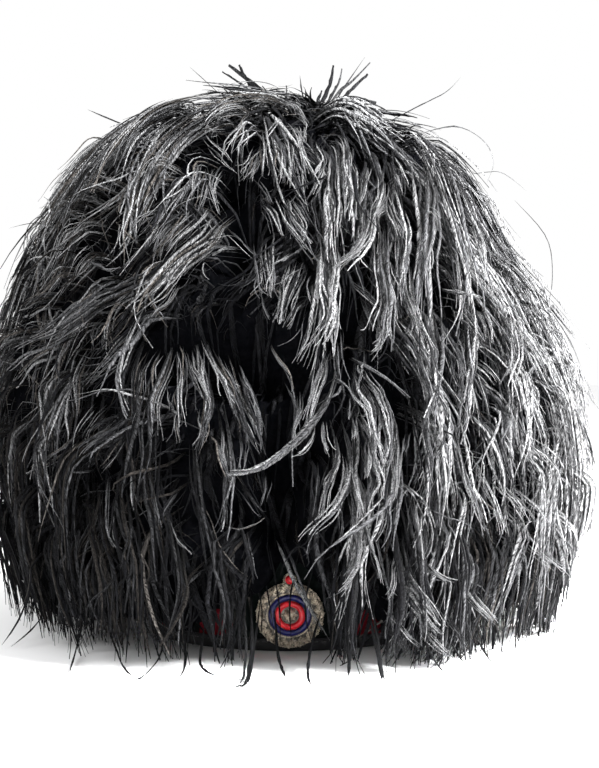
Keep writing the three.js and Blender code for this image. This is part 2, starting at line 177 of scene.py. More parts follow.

# Long locks at the front, as azimuth, share and lift along each: name, flues, width, tone, points. The tone sets each
# lock's brightness, mostly painted light and shade on black flues
FRONT_LOCKS = [
    ("left_c", 12, 8, 0.6, [(-26, 0.588, 0.85), (-26, 0.657, 1), (-26, 0.728, 1.02), (-28, 0.792, 1)]),
    ("right_c", 14, 9, 3.15, [(36, 0.325, 0.95), (34, 0.42, 1.01), (34, 0.512, 1.03), (33, 0.61, 1)]),
    ("top_left_a", 14, 10, 3.6, [(-26, 0.22, 0.97), (-41, 0.265, 1.02), (-44, 0.335, 1.03),
        (-44, 0.415, 1)]),
    ("top_left_b", 14, 9, 3.3, [(-19, 0.235, 0.97), (-29, 0.33, 1.03), (-32, 0.408, 1.03),
        (-31, 0.487, 1)]),
    ("top_left_c", 14, 10, 3.1, [(-36, 0.228, 0.97), (-48, 0.292, 1.02), (-54, 0.378, 1.03),
        (-56, 0.478, 1)]),
    ("top_edge", 5, 4, 4.3, [(2, 0.278, 1), (-6, 0.253, 1.04), (-16, 0.253, 1.05), (-23, 0.28, 1.04)]),
    ("clump_broad", 9, 7, 3.6, [(-18, 0.428, 0.92), (-20, 0.468, 1), (-24, 0.505, 0.97)]),
    ("clump_narrow", 7, 5, 3.6, [(-22, 0.44, 0.92), (-24, 0.475, 1), (-25, 0.51, 0.97)]),
    ("drop_fifth", 4, 3, 3.5, [(-15, 0.36, 0.9), (-16, 0.4, 0.98), (-14, 0.445, 0.96)]),
    ("drop_sixth", 4, 3, 3.5, [(-20, 0.357, 0.9), (-18, 0.405, 0.98), (-19, 0.453, 0.96)]),
    ("cave_arc_low", 3, 2, 2.2, [(-8, 0.49, 0.95), (-13, 0.492, 1), (-16, 0.503, 1), (-20, 0.53, 0.97)]),
    ("right_up_second", 9, 6, 3.05, [(32, 0.352, 0.95), (28, 0.438, 1), (24, 0.515, 1.02), (22, 0.605, 1)]),
    ("right_mid_first", 9, 6, 2.9, [(26, 0.54, 0.93), (25, 0.61, 1), (24, 0.67, 1.02), (22, 0.735, 0.98)]),
    ("right_mid_second", 9, 6, 3.1, [(33, 0.527, 0.93), (32, 0.598, 1), (30, 0.67, 1.02),
        (29, 0.738, 0.98)]),
    ("hem_right_first", 8, 6, 1.9, [(20, 0.78, 0.92), (21, 0.848, 1), (22, 0.905, 1), (24, 0.965, 0.97)]),
    ("hem_right_second", 8, 6, 1.9, [(27, 0.782, 0.92), (29, 0.853, 1), (30, 0.91, 1), (32, 0.97, 0.97)]),
    ("hem_right_third", 8, 6, 1.8, [(16, 0.8, 0.92), (17, 0.87, 1), (18, 0.915, 1), (18, 0.97, 0.97)]),
    ("low_left_second", 4, 3, 1.8, [(-20, 0.79, 0.92), (-18, 0.87, 0.98), (-18, 0.91, 0.98),
        (-22, 0.965, 0.96)]),
    ("low_left_third", 4, 3, 1.8, [(-16, 0.785, 0.85), (-12, 0.843, 0.9), (-7, 0.888, 0.9)]),
    ("low_left_fourth", 3, 2, 1.4, [(-9, 0.8, 0.8), (-7, 0.85, 0.86), (-6, 0.883, 0.86)]),
    ("low_left_fifth", 7, 5, 1, [(-30, 0.75, 0.92), (-28, 0.815, 0.98), (-26, 0.873, 0.98),
        (-27, 0.95, 0.96)]),
    ("low_left_sixth", 7, 5, 1, [(-36, 0.765, 0.92), (-34, 0.83, 0.98), (-32, 0.888, 0.98),
        (-33, 0.96, 0.96)]),
    ("low_left_seventh", 7, 5, 0.6, [(-24, 0.7, 0.92), (-24, 0.772, 0.98), (-22, 0.825, 0.98),
        (-22, 0.905, 0.95)]),
    ("low_left_eighth", 6, 4, 0.6, [(-16, 0.71, 0.9), (-15, 0.77, 0.95), (-14, 0.812, 0.95),
        (-12, 0.875, 0.92)]),
    ("beside_left", 6, 4, 0.6, [(-12, 0.86, 0.85), (-10, 0.902, 0.9), (-10, 0.938, 0.92),
        (-10, 0.985, 0.95)]),
    ("beside_right", 6, 4, 0.8, [(9, 0.82, 0.88), (10, 0.878, 0.93), (10, 0.92, 0.95), (9, 0.98, 0.95)]),
    ("cave_a", 8, 3, 3.25, [(-17.5, 0.6, 0.85), (-15, 0.642, 0.9), (-13.5, 0.675, 0.96),
        (-14.5, 0.71, 0.97), (-15.5, 0.735, 0.97)]),
    ("cave_b", 4, 2, 3.15, [(-15, 0.598, 0.84), (-11.5, 0.638, 0.89), (-9, 0.672, 0.95),
        (-7.5, 0.703, 0.96), (-7.5, 0.733, 0.96)]),
    ("cave_c", 4, 2, 3.05, [(-12, 0.61, 0.82), (-10, 0.66, 0.88), (-8, 0.69, 0.94), (-6, 0.72, 0.95),
        (-5, 0.735, 0.95)]),
    ("cave_d", 2, 1.5, 3.05, [(-9, 0.628, 0.82), (-7.5, 0.672, 0.89), (-5.5, 0.705, 0.94),
        (-4, 0.735, 0.94)]),
    ("cave_e", 2, 1.5, 3.15, [(-9, 0.63, 0.82), (-6.5, 0.662, 0.89), (-5, 0.7, 0.94), (-4, 0.73, 0.94)]),
    ("cave_f", 5, 2, 2.4, [(-12.5, 0.66, 0.86), (-11, 0.71, 0.9), (-10, 0.753, 0.94), (-10, 0.775, 0.97),
        (-10.5, 0.81, 0.97), (-11.5, 0.83, 0.97)]),
    ("cave_g", 2, 1.5, 2.6, [(-9.5, 0.763, 0.93), (-7, 0.785, 0.94), (-5, 0.805, 0.95),
        (-3.5, 0.81, 0.95)]),
    ("cave_h", 1, 1, 3.35, [(-12, 0.818, 0.9), (-8.5, 0.823, 0.92), (-5.5, 0.818, 0.93),
        (-3.5, 0.81, 0.93)]),
    ("tail_main", 5, 1.5, 4.6, [(8, 0.61, 1), (7.5, 0.65, 0.99), (5.5, 0.682, 0.99), (2.5, 0.71, 0.98),
        (-0.5, 0.728, 0.97), (-4, 0.748, 0.97), (-6.5, 0.755, 0.97), (-9.5, 0.758, 0.97),
        (-11.5, 0.76, 0.97)]),
    ("tail_hook", 2, 1, 3.6, [(4, 0.7, 0.97), (3.5, 0.715, 0.96), (2, 0.73, 0.95), (0, 0.735, 0.95)]),
    ("tail_second", 5, 2, 4, [(5.5, 0.623, 0.99), (5.5, 0.645, 0.97), (4, 0.672, 0.95), (3, 0.693, 0.95),
        (2, 0.71, 0.95)]),
    ("single_long", 1, 1, 3, [(-3.5, 0.6, 0.92), (-2, 0.628, 0.91), (0, 0.652, 0.91), (1, 0.672, 0.9),
        (1, 0.703, 0.9), (0.5, 0.735, 0.9), (0.5, 0.78, 0.9)]),
    ("single_low", 2, 1.5, 2.8, [(-4, 0.753, 0.9), (-4, 0.772, 0.88), (-5, 0.795, 0.88)]),
    ("bundle_a", 7, 2.5, 4, [(11.5, 0.625, 0.85), (13.5, 0.665, 0.9), (14, 0.693, 0.96),
        (13.5, 0.728, 1), (14, 0.76, 1), (14.5, 0.777, 1)]),
    ("bundle_b", 7, 2.5, 4.1, [(12.5, 0.625, 0.85), (15, 0.662, 0.92), (16, 0.693, 0.98), (16, 0.72, 1),
        (15, 0.745, 1)]),
    ("bundle_c", 7, 2.5, 3.7, [(11, 0.655, 0.86), (12.5, 0.71, 0.91), (13.5, 0.745, 0.96), (14, 0.77, 1),
        (13, 0.785, 1), (12.5, 0.81, 1)]),
    ("bundle_d", 9, 3.5, 2.8, [(17, 0.693, 0.9), (17, 0.738, 0.93), (16.5, 0.77, 0.96),
        (15.5, 0.795, 0.99), (15.5, 0.82, 0.99), (14, 0.843, 0.99)]),
    ("bundle_e", 5, 2, 3.7, [(10.5, 0.672, 0.86), (10.5, 0.745, 0.91), (10.5, 0.777, 0.97),
        (11, 0.802, 0.98), (11, 0.855, 0.98)]),
    ("bundle_f", 5, 2, 3.7, [(8, 0.685, 0.86), (9.5, 0.728, 0.89), (9.5, 0.753, 0.93), (8.5, 0.78, 0.96),
        (6.5, 0.802, 0.97), (3.5, 0.823, 0.97), (1.5, 0.843, 0.97)]),
    ("bundle_g", 5, 2, 3.7, [(6.5, 0.688, 0.86), (7.5, 0.735, 0.91), (6, 0.763, 0.95), (5, 0.785, 0.96),
        (4.5, 0.812, 0.96)]),
    ("bundle_h", 4, 1.5, 3.9, [(5.5, 0.693, 0.9), (5.5, 0.718, 0.94), (6.5, 0.738, 0.95)]),
    ("bundle_i", 4, 1.5, 3.85, [(13, 0.71, 0.96), (12.5, 0.73, 0.98), (12.5, 0.745, 1), (12, 0.763, 1)]),
    ("bundle_j", 4, 1.5, 3.1, [(10.5, 0.785, 0.96), (12.5, 0.828, 0.98), (14, 0.855, 0.98)]),
    ("bundle_k", 5, 2.5, 1.95, [(4.5, 0.73, 0.84), (4, 0.782, 0.92), (3, 0.823, 0.93)]),
    ("bundle_l", 4, 2, 2.45, [(7.5, 0.775, 0.9), (8, 0.81, 0.94), (8, 0.84, 0.95)]),
    ("bundle_m", 5, 2, 2.5, [(18, 0.728, 0.9), (18, 0.772, 0.94), (17, 0.812, 0.97), (16.5, 0.848, 0.97)]),
    ("fork_bright", 5, 2.5, 4.8, [(16.5, 0.575, 1), (15.5, 0.595, 1.01), (15, 0.613, 1.02),
        (13, 0.628, 1.02)]),
    ("fork_cross", 2, 1, 2.6, [(9.5, 0.62, 0.96), (13, 0.635, 0.97), (17, 0.655, 0.98),
        (20.5, 0.672, 0.98)]),
    ("diagonal", 16, 5, 3.9, [(-10.5, 0.443, 0.97), (-13.5, 0.465, 0.99), (-15, 0.487, 1.02),
        (-19, 0.51, 1.04), (-22.5, 0.535, 1.05), (-25.5, 0.557, 1.05), (-28, 0.575, 1.05)]),
    ("diagonal_end", 7, 3, 4, [(-19.5, 0.532, 1), (-21, 0.557, 1.02), (-23, 0.57, 1.03),
        (-24, 0.58, 1.03)]),
    ("diagonal_edge", 2, 1.5, 4.8, [(-8.5, 0.49, 0.98), (-13, 0.492, 1.01), (-17, 0.508, 1.03),
        (-19.5, 0.532, 1.04), (-21, 0.552, 1.04)]),
    ("fan_a", 8, 4, 3.6, [(-22.5, 0.522, 0.95), (-27, 0.53, 0.97), (-32, 0.545, 0.99), (-36.5, 0.56, 1.01),
        (-40, 0.58, 1.03), (-45.5, 0.598, 1.03), (-52, 0.605, 1.03), (-60, 0.613, 1.03)]),
    ("fan_b", 4, 2, 4.4, [(-24, 0.535, 0.98), (-26.5, 0.542, 1), (-30.5, 0.555, 1.02), (-32, 0.57, 1.03),
        (-32.5, 0.59, 1.04), (-31.5, 0.613, 1.04), (-30.5, 0.63, 1.04)]),
    ("fan_c", 2, 1.5, 4.6, [(-25.5, 0.56, 1), (-26.5, 0.58, 1.01), (-27.5, 0.598, 1.02),
        (-28.5, 0.625, 1.03), (-29, 0.655, 1.03), (-27.5, 0.682, 1.03), (-26, 0.698, 1.03)]),
    ("fan_d", 4, 3, 3.6, [(-33, 0.552, 0.96), (-36.5, 0.56, 0.98), (-41, 0.562, 1), (-45, 0.583, 1.02),
        (-49.5, 0.595, 1.02), (-55, 0.603, 1.02)]),
    ("fan_e", 4, 2, 4, [(-39.5, 0.593, 0.97), (-45, 0.61, 0.99), (-51, 0.625, 1.02), (-56.5, 0.642, 1.02),
        (-61.5, 0.657, 1.02)]),
    ("fan_f", 7, 3, 3.8, [(-38, 0.605, 0.94), (-39, 0.625, 0.97), (-39.5, 0.652, 1), (-38.5, 0.675, 1.01),
        (-38, 0.698, 1.01)]),
    ("fan_g", 2, 1.5, 3.6, [(-41.5, 0.598, 0.97), (-42, 0.613, 1), (-42.5, 0.635, 1.02),
        (-42.5, 0.672, 1.02)]),
    ("fan_h", 2, 1.5, 4.2, [(-30, 0.623, 0.98), (-31, 0.63, 1.01), (-34, 0.65, 1.03), (-37.5, 0.67, 1.03)]),
    ("fan_i", 9, 5, 3, [(-34.5, 0.57, 0.93), (-36, 0.585, 0.97), (-36, 0.6, 0.99), (-36, 0.615, 0.99)]),
    ("under_a", 5, 3, 3.35, [(-21, 0.6, 0.85), (-21.5, 0.635, 0.91), (-22.5, 0.67, 0.97),
        (-22.5, 0.695, 0.98), (-22, 0.723, 0.98)]),
    ("under_b", 5, 3, 3.55, [(-20.5, 0.598, 0.85), (-19, 0.618, 0.92), (-18, 0.64, 0.97),
        (-18, 0.66, 0.97)]),
    ("under_c", 7, 4, 3.35, [(-26.5, 0.608, 0.87), (-27, 0.638, 0.95), (-26, 0.67, 1), (-25.5, 0.703, 1)]),
    ("under_d", 5, 3, 2.95, [(-21, 0.645, 0.86), (-20, 0.67, 0.97), (-18.5, 0.7, 0.98)]),
    ("under_e", 5, 3, 3.75, [(-28.5, 0.68, 0.9), (-30.5, 0.708, 0.96), (-34, 0.728, 1), (-36.5, 0.743, 1)]),
    ("under_f", 5, 3, 3.55, [(-33.5, 0.677, 0.9), (-34.5, 0.695, 0.96), (-35.5, 0.713, 1),
        (-36, 0.735, 1)]),
    ("top_spray", 8, 4, 3.7, [(-19, 0.445, 0.95), (-20, 0.46, 0.99), (-22, 0.482, 1.02),
        (-23, 0.492, 1.02)]),
    ("top_spray_low", 7, 3, 3.7, [(-22.5, 0.453, 0.95), (-23.5, 0.47, 0.99), (-24.5, 0.487, 1.02),
        (-25, 0.5, 1.02)]),
    ("top_single", 2, 1.5, 4.8, [(-35, 0.4, 1), (-33, 0.435, 1.03), (-32, 0.46, 1.05), (-31.5, 0.487, 1.06),
        (-30, 0.522, 1.06)]),
    ("arch_single", 2, 1.5, 4, [(-22, 0.45, 0.98), (-25.5, 0.448, 1), (-28.5, 0.455, 1.02),
        (-30.5, 0.47, 1.02)]),
    ("crown_leaf", 4, 2, 4.5, [(-10, 0.278, 0.98), (-11.5, 0.307, 1), (-11, 0.328, 1.02),
        (-12, 0.350, 1.02), (-12, 0.370, 1.02)]),
    ("crest_thread", 3, 1.5, 3.5, [(-21.5, 0.323, 0.98), (-17, 0.352, 1), (-13.5, 0.375, 1.02),
        (-10.5, 0.395, 1.02)]),
    ("crest_thread_end", 3, 1.5, 3, [(-8, 0.400, 0.98), (-5, 0.427, 1), (-3.5, 0.443, 1)]),
    ("spray_a", 5, 2.5, 4.1, [(-6.5, 0.333, 0.96), (-7.5, 0.367, 0.98), (-8.5, 0.388, 1),
        (-10, 0.400, 1)]),
    ("spray_b", 4, 1.5, 3.8, [(-6.5, 0.355, 0.96), (-7.5, 0.380, 1), (-8, 0.408, 1)]),
    ("spray_c", 4, 2, 4, [(-7, 0.318, 0.96), (-6, 0.352, 0.98), (-5.5, 0.380, 1), (-5.5, 0.400, 1)]),
    ("spray_d", 3, 1.5, 2.8, [(-6.5, 0.285, 0.96), (-5, 0.318, 0.98), (-4.5, 0.350, 1), (-3.5, 0.385, 1),
        (-2.5, 0.413, 1)]),
    ("spray_cross", 1, 1, 4, [(-2, 0.312, 1), (-3.5, 0.333, 1.02), (-5, 0.350, 1.02)]),
    ("loop_a", 6, 2, 4.7, [(-3, 0.338, 0.96), (-1, 0.343, 0.98), (0, 0.362, 1), (0, 0.393, 1),
        (0, 0.422, 1)]),
    ("loop_b", 5, 2, 4.1, [(-3.5, 0.340, 0.96), (-2, 0.352, 0.98), (-1.5, 0.372, 1), (-1.5, 0.398, 1),
        (-1.5, 0.410, 1)]),
    ("loop_c", 5, 2.5, 3.5, [(-4, 0.348, 0.95), (-3, 0.365, 0.97), (-3, 0.385, 0.99),
        (-2.5, 0.400, 0.99)]),
    ("swoop", 4, 2, 3.7, [(-1, 0.307, 0.96), (0, 0.320, 0.97), (1.5, 0.343, 0.99), (2, 0.367, 1),
        (2.5, 0.390, 1), (3.5, 0.410, 1)]),
    ("leaf", 6, 3, 4.4, [(2, 0.307, 0.96), (2.5, 0.328, 1), (3, 0.345, 1)]),
    ("cross_thread", 2, 1.2, 3.2, [(2, 0.348, 0.97), (3.5, 0.365, 1), (6, 0.385, 1)]),
    ("bend_a", 4, 2, 4.2, [(6, 0.343, 0.96), (6.5, 0.360, 0.98), (7, 0.380, 1), (5.5, 0.395, 1),
        (5, 0.405, 1)]),
    ("bend_b", 4, 2, 4, [(8, 0.352, 0.96), (7, 0.380, 0.98), (6.5, 0.400, 1), (5, 0.420, 1),
        (3, 0.443, 1)]),
    ("stem_a", 9, 4, 3.7, [(7, 0.380, 0.95), (7.5, 0.410, 0.97), (6.5, 0.432, 0.99), (6.5, 0.463, 1),
        (6.5, 0.487, 1), (6.5, 0.517, 1)]),
    ("stem_b", 8, 3.5, 3.4, [(10.5, 0.362, 0.95), (9.5, 0.393, 0.97), (9, 0.425, 0.99), (9, 0.450, 1),
        (8, 0.487, 1)]),
    ("stem_c", 10, 3.5, 4, [(8.5, 0.328, 0.95), (11, 0.335, 0.97), (12, 0.352, 0.99), (11.5, 0.385, 1.01),
        (11.5, 0.413, 1.02), (11, 0.432, 1.02), (10, 0.460, 1.02)]),
    ("stem_d", 5, 2, 4.1, [(13, 0.360, 0.95), (13.5, 0.380, 0.97), (13, 0.408, 0.99), (12.5, 0.430, 1),
        (12.5, 0.460, 1)]),
    ("spread_a", 5, 2.5, 3.8, [(17.5, 0.370, 0.95), (15.5, 0.400, 0.98), (14, 0.427, 1), (13, 0.438, 1)]),
    ("spread_b", 8, 3, 4.2, [(20, 0.390, 0.95), (19, 0.415, 0.98), (17, 0.440, 1), (15.5, 0.458, 1)]),
    ("spread_c", 5, 2, 4.6, [(20, 0.430, 0.98), (17.5, 0.445, 1.02), (15.5, 0.458, 1.02)]),
    ("spread_d", 9, 4, 4, [(20.5, 0.395, 0.95), (20.5, 0.425, 0.97), (20.5, 0.450, 0.99),
        (21, 0.480, 1), (20.5, 0.515, 1)]),
    ("spread_e", 3, 1.5, 4.4, [(15, 0.400, 0.97), (15.5, 0.408, 1), (16.5, 0.417, 1)]),
    ("spread_f", 3, 1.5, 4.2, [(23.5, 0.365, 0.96), (23.5, 0.388, 1), (24, 0.413, 1)]),
    ("spread_g", 4, 2, 4.3, [(24.5, 0.365, 0.96), (26.5, 0.378, 1), (28, 0.388, 1)]),
    ("fall_a", 9, 3.5, 4, [(-2, 0.425, 0.95), (-1, 0.443, 0.98), (0, 0.465, 1.01), (2.5, 0.490, 1.02),
        (4.5, 0.515, 1.02)]),
    ("fall_b", 6, 2.5, 4.2, [(-1, 0.425, 0.95), (1, 0.448, 0.97), (2.5, 0.470, 0.99), (2, 0.482, 1),
        (3.5, 0.495, 1)]),
    ("fall_c", 6, 2.5, 3.3, [(-5, 0.427, 0.93), (-3, 0.450, 0.97), (-1.5, 0.478, 0.98)]),
    ("fall_d", 5, 2.5, 2.2, [(1, 0.427, 0.93), (2.5, 0.448, 0.97), (4, 0.470, 0.97)]),
    ("side_thread", 2, 1.2, 4.2, [(-8.5, 0.490, 0.97), (-12, 0.490, 1), (-15.5, 0.505, 1)]),
    ("side_cross", 2, 1.2, 3.2, [(-12, 0.460, 0.95), (-9.5, 0.480, 0.98), (-5, 0.510, 0.98)]),
    ("drop_a", 6, 2, 3.3, [(-6.5, 0.480, 0.92), (-6, 0.505, 0.95), (-5.5, 0.525, 0.97), (-5, 0.547, 0.98),
        (-3.5, 0.555, 0.98)]),
    ("drop_b", 11, 4, 3.7, [(-3.5, 0.465, 0.92), (-4, 0.495, 0.96), (-3.5, 0.525, 0.99), (-3.5, 0.540, 1),
        (-3.5, 0.555, 1)]),
    ("drop_thread", 2, 1, 3.2, [(-5, 0.547, 0.93), (-4.5, 0.565, 0.95), (-3, 0.585, 0.95)]),
    ("drop_c", 12, 4.5, 3.6, [(1.5, 0.500, 0.92), (0.5, 0.525, 0.95), (-0.5, 0.550, 0.98),
        (-1.5, 0.578, 0.99), (-2, 0.588, 0.99)]),
    ("drop_d", 6, 2.5, 2.9, [(3, 0.547, 0.92), (1, 0.560, 0.95), (0, 0.578, 0.97), (-1, 0.588, 0.97)]),
    ("drop_cross", 2, 1.2, 3.8, [(3, 0.520, 0.97), (0.5, 0.530, 0.99), (-1, 0.540, 1), (-2.5, 0.547, 1)]),
    ("drop_line", 1, 1, 4, [(0.5, 0.492, 0.97), (-1, 0.503, 0.99), (-3.5, 0.515, 1), (-6, 0.527, 1)]),
    ("trunk", 16, 5.5, 4.1, [(6.5, 0.465, 0.95), (7, 0.500, 0.97), (7, 0.525, 1), (6.5, 0.550, 1.02),
        (7, 0.578, 1.03), (6, 0.603, 1.03), (5, 0.620, 1.03)]),
    ("trunk_left", 7, 3, 4, [(5, 0.525, 0.96), (4, 0.540, 1), (4, 0.555, 1.02), (4, 0.568, 1.02)]),
    ("trunk_low", 8, 3.5, 3.1, [(5, 0.560, 0.93), (3.5, 0.590, 0.96), (2.5, 0.610, 0.98),
        (0.5, 0.635, 0.98)]),
    ("trunk_right", 5, 2, 3, [(8, 0.585, 0.94), (8, 0.610, 0.96), (8, 0.638, 0.98), (8, 0.655, 0.98)]),
    ("trunk_tail", 7, 3, 4, [(6.5, 0.615, 0.97), (5, 0.645, 0.99), (3.5, 0.672, 1), (2.5, 0.700, 1)]),
    ("cross_arm", 11, 4, 4.2, [(15.5, 0.427, 0.96), (14.5, 0.455, 0.99), (13.5, 0.480, 1.02),
        (11.5, 0.503, 1.04), (9.5, 0.515, 1.04), (7.5, 0.527, 1.04)]),
    ("hang_a", 13, 4.5, 3.6, [(17.5, 0.450, 0.95), (16.5, 0.495, 0.97), (16, 0.522, 0.99),
        (16.5, 0.560, 1.01), (16, 0.585, 1.02), (15.5, 0.610, 1.02), (13.5, 0.628, 1.02)]),
    ("hang_b", 5, 2, 4.2, [(14, 0.492, 0.95), (15, 0.517, 0.98), (16, 0.535, 1), (16, 0.552, 1)]),
    ("hang_c", 6, 2.5, 2.6, [(10.5, 0.525, 0.93), (13, 0.542, 0.96), (15, 0.560, 0.98),
        (16, 0.573, 0.98)]),
    ("hang_d", 5, 2.5, 2.6, [(13, 0.547, 0.93), (14, 0.578, 0.97), (14.5, 0.590, 0.98)]),
    ("hang_e", 11, 4, 3.7, [(21.5, 0.438, 0.95), (22, 0.470, 0.97), (20.5, 0.503, 0.99), (19.5, 0.540, 1),
        (18.5, 0.580, 1)]),
    ("hang_f", 8, 3, 3.7, [(22, 0.508, 0.95), (21, 0.545, 0.98), (21.5, 0.580, 1), (20.5, 0.605, 1)]),
    ("left_strand", 3, 1.5, 4.4, [(-32.5, 0.352, 0.98), (-32.5, 0.390, 1.03), (-32.5, 0.415, 1.04)]),
    ("left_arc", 5, 2, 4.6, [(-22, 0.395, 0.99), (-26, 0.385, 1.03), (-28.5, 0.385, 1.05),
        (-30, 0.395, 1.05)]),
    ("left_arc_low", 4, 2, 3.4, [(-22, 0.448, 0.98), (-26, 0.448, 1.01), (-29, 0.460, 1.03),
        (-30.5, 0.470, 1.03)]),
    ("left_plume", 5, 2, 3.4, [(-28, 0.408, 0.97), (-29, 0.427, 1.02), (-29.5, 0.450, 1.02)]),
    ("left_upright", 4, 1.8, 3.8, [(-20, 0.370, 0.97), (-19, 0.408, 1.02), (-19, 0.438, 1.02)]),
    ("left_tuft", 6, 2.5, 3.8, [(-41, 0.485, 0.97), (-42.5, 0.505, 1.02), (-44, 0.527, 1.02)]),
    ("left_cross", 2, 1.2, 3.9, [(-43, 0.503, 0.99), (-36, 0.517, 1.02), (-33.5, 0.525, 1.04),
        (-30.5, 0.522, 1.04)]),
    ("left_far", 2, 1.2, 3.2, [(-44, 0.400, 0.98), (-49.5, 0.413, 1.02), (-52, 0.440, 1.03)]),
    ("right_line_a", 4, 1.8, 3.9, [(31.5, 0.475, 0.97), (31.5, 0.495, 1.01), (32, 0.517, 1.04),
        (32, 0.545, 1.04)]),
    ("right_line_b", 6, 2.5, 4.3, [(36, 0.450, 0.97), (37, 0.468, 1), (36.5, 0.495, 1.03),
        (36.5, 0.520, 1.04), (36.5, 0.552, 1.04)]),
    ("right_line_c", 6, 2.2, 4.9, [(36.5, 0.557, 0.97), (36.5, 0.585, 1.03), (36.5, 0.620, 1.04)]),
    ("right_line_d", 5, 2, 4.4, [(43.5, 0.557, 0.97), (43.5, 0.585, 1.01), (42.5, 0.628, 1.04),
        (39, 0.662, 1.04)]),
    ("right_wire", 2, 0.6, 3.9, [(27.5, 0.542, 1.02), (31, 0.550, 1.05), (36.5, 0.557, 1.05)]),
    ("right_wire_end", 1, 0.6, 4.4, [(37, 0.557, 1.04), (38, 0.547, 1.05), (39, 0.540, 1.05)]),
    ("right_bright", 6, 2.5, 4.3, [(21.5, 0.517, 0.97), (21, 0.547, 1), (21.5, 0.578, 1.03),
        (22.5, 0.603, 1.04), (23.5, 0.625, 1.04)]),
    ("right_bright_low", 6, 2.5, 3.6, [(22, 0.620, 0.97), (22, 0.642, 1.01), (22.5, 0.667, 1.04),
        (23, 0.693, 1.04)]),
    ("right_line_e", 6, 2, 3.2, [(24.5, 0.640, 0.97), (23.5, 0.677, 1.03), (23.5, 0.703, 1.04)]),
    ("right_line_f", 5, 2, 3.1, [(28.5, 0.595, 0.97), (29, 0.620, 1.01), (29, 0.647, 1.04),
        (29.5, 0.672, 1.04)]),
    ("right_line_g", 5, 2, 4.5, [(32.5, 0.625, 0.97), (34.5, 0.645, 1.03), (36.5, 0.662, 1.04)]),
    ("right_band", 10, 4, 2.9, [(30.5, 0.560, 0.97), (32.5, 0.585, 1.03), (35, 0.620, 1.04)]),
    ("right_line_h", 6, 3, 4.3, [(44.5, 0.585, 0.97), (46.5, 0.618, 1.03), (49, 0.657, 1.04)]),
    ("right_line_i", 5, 2, 4.2, [(41, 0.532, 0.97), (41.5, 0.557, 1.03), (40, 0.580, 1.04)]),
    ("right_knot", 7, 2.5, 4.4, [(27, 0.440, 0.97), (28, 0.450, 1.03), (28.5, 0.463, 1.04)]),
    ("low_line_a", 6, 2, 3.2, [(21.5, 0.685, 0.97), (21.5, 0.720, 1.01), (22, 0.758, 1.04),
        (22.5, 0.780, 1.04)]),
    ("low_line_b", 4, 1.5, 3.4, [(26.5, 0.680, 0.97), (25.5, 0.713, 1.01), (23.5, 0.738, 1.04),
        (22.5, 0.748, 1.04)]),
    ("low_line_c", 6, 2, 3.9, [(28, 0.693, 0.97), (28.5, 0.735, 1), (29.5, 0.777, 1.03),
        (31, 0.802, 1.04), (33, 0.838, 1.04)]),
    ("low_line_d", 6, 2.5, 4.1, [(31, 0.750, 0.97), (33.5, 0.777, 1.01), (35.5, 0.812, 1.04),
        (37, 0.840, 1.04)]),
    ("low_line_e", 4, 1.8, 4.1, [(36, 0.770, 0.97), (39, 0.795, 1.03), (43, 0.828, 1.04)]),
    ("low_line_f", 5, 2, 4.2, [(40, 0.780, 0.97), (44.5, 0.810, 1.03), (48, 0.833, 1.04)]),
    ("low_line_g", 4, 1.5, 4, [(46, 0.853, 0.97), (50, 0.875, 1.03), (55.5, 0.895, 1.04)]),
    ("low_line_h", 7, 3, 3.2, [(17, 0.880, 0.94), (20, 0.907, 0.98), (22.5, 0.935, 1), (26, 0.953, 1)]),
    ("low_line_i", 3, 1.2, 3.9, [(18.5, 0.843, 0.95), (19.5, 0.880, 0.98), (22, 0.907, 1),
        (26, 0.943, 1)]),
    ("low_line_j", 3, 1.2, 3.9, [(22.5, 0.860, 0.96), (24.5, 0.880, 1.01), (27.5, 0.888, 1.02)]),
    ("low_line_k", 4, 1.5, 4, [(30, 0.893, 0.95), (33, 0.920, 0.99), (38, 0.948, 1)]),
    ("low_band_a", 8, 3.5, 4, [(15.5, 0.680, 0.94), (16, 0.710, 0.98), (15.5, 0.740, 1),
        (14, 0.770, 1)]),
    ("low_band_b", 7, 3, 3.9, [(17, 0.715, 0.94), (17, 0.750, 0.98), (16.5, 0.780, 1),
        (15.5, 0.797, 1)]),
    ("below_a", 3, 2, 3, [(-23, 0.608, 0.88), (-23.5, 0.628, 0.94), (-23, 0.645, 1),
        (-22.5, 0.665, 1)]),
    ("below_b", 4, 2.5, 3.2, [(-27, 0.635, 0.88), (-26, 0.662, 0.94), (-25, 0.682, 1),
        (-26, 0.705, 1)]),
    ("below_c", 4, 2, 3.6, [(-20, 0.603, 0.88), (-18.5, 0.635, 0.93), (-18, 0.657, 0.97),
        (-17.5, 0.682, 1), (-17, 0.708, 1)]),
    ("below_d", 5, 3, 3.2, [(-18.5, 0.595, 0.88), (-17, 0.633, 0.94), (-15, 0.655, 1),
        (-13, 0.680, 1)]),
    ("below_e", 5, 2.5, 3.3, [(-17.5, 0.598, 0.88), (-16, 0.630, 0.94), (-14.5, 0.652, 1),
        (-13.5, 0.677, 1)]),
    ("below_f", 5, 2.5, 3.8, [(-16, 0.598, 0.88), (-15, 0.633, 0.94), (-14, 0.657, 1),
        (-12.5, 0.685, 1)]),
    ("below_g", 5, 2.5, 3.8, [(-15, 0.593, 0.88), (-12.5, 0.625, 0.93), (-10.5, 0.650, 0.97),
        (-9, 0.670, 1), (-7.5, 0.693, 1)]),
    ("below_h", 4, 2.5, 3.2, [(-12, 0.610, 0.88), (-10.5, 0.635, 0.94), (-9, 0.657, 1),
        (-8, 0.672, 1)]),
    ("below_j", 3, 1.5, 3.4, [(-9, 0.628, 0.88), (-7.5, 0.650, 0.93), (-6, 0.670, 0.97),
        (-5, 0.695, 1), (-4, 0.720, 1)]),
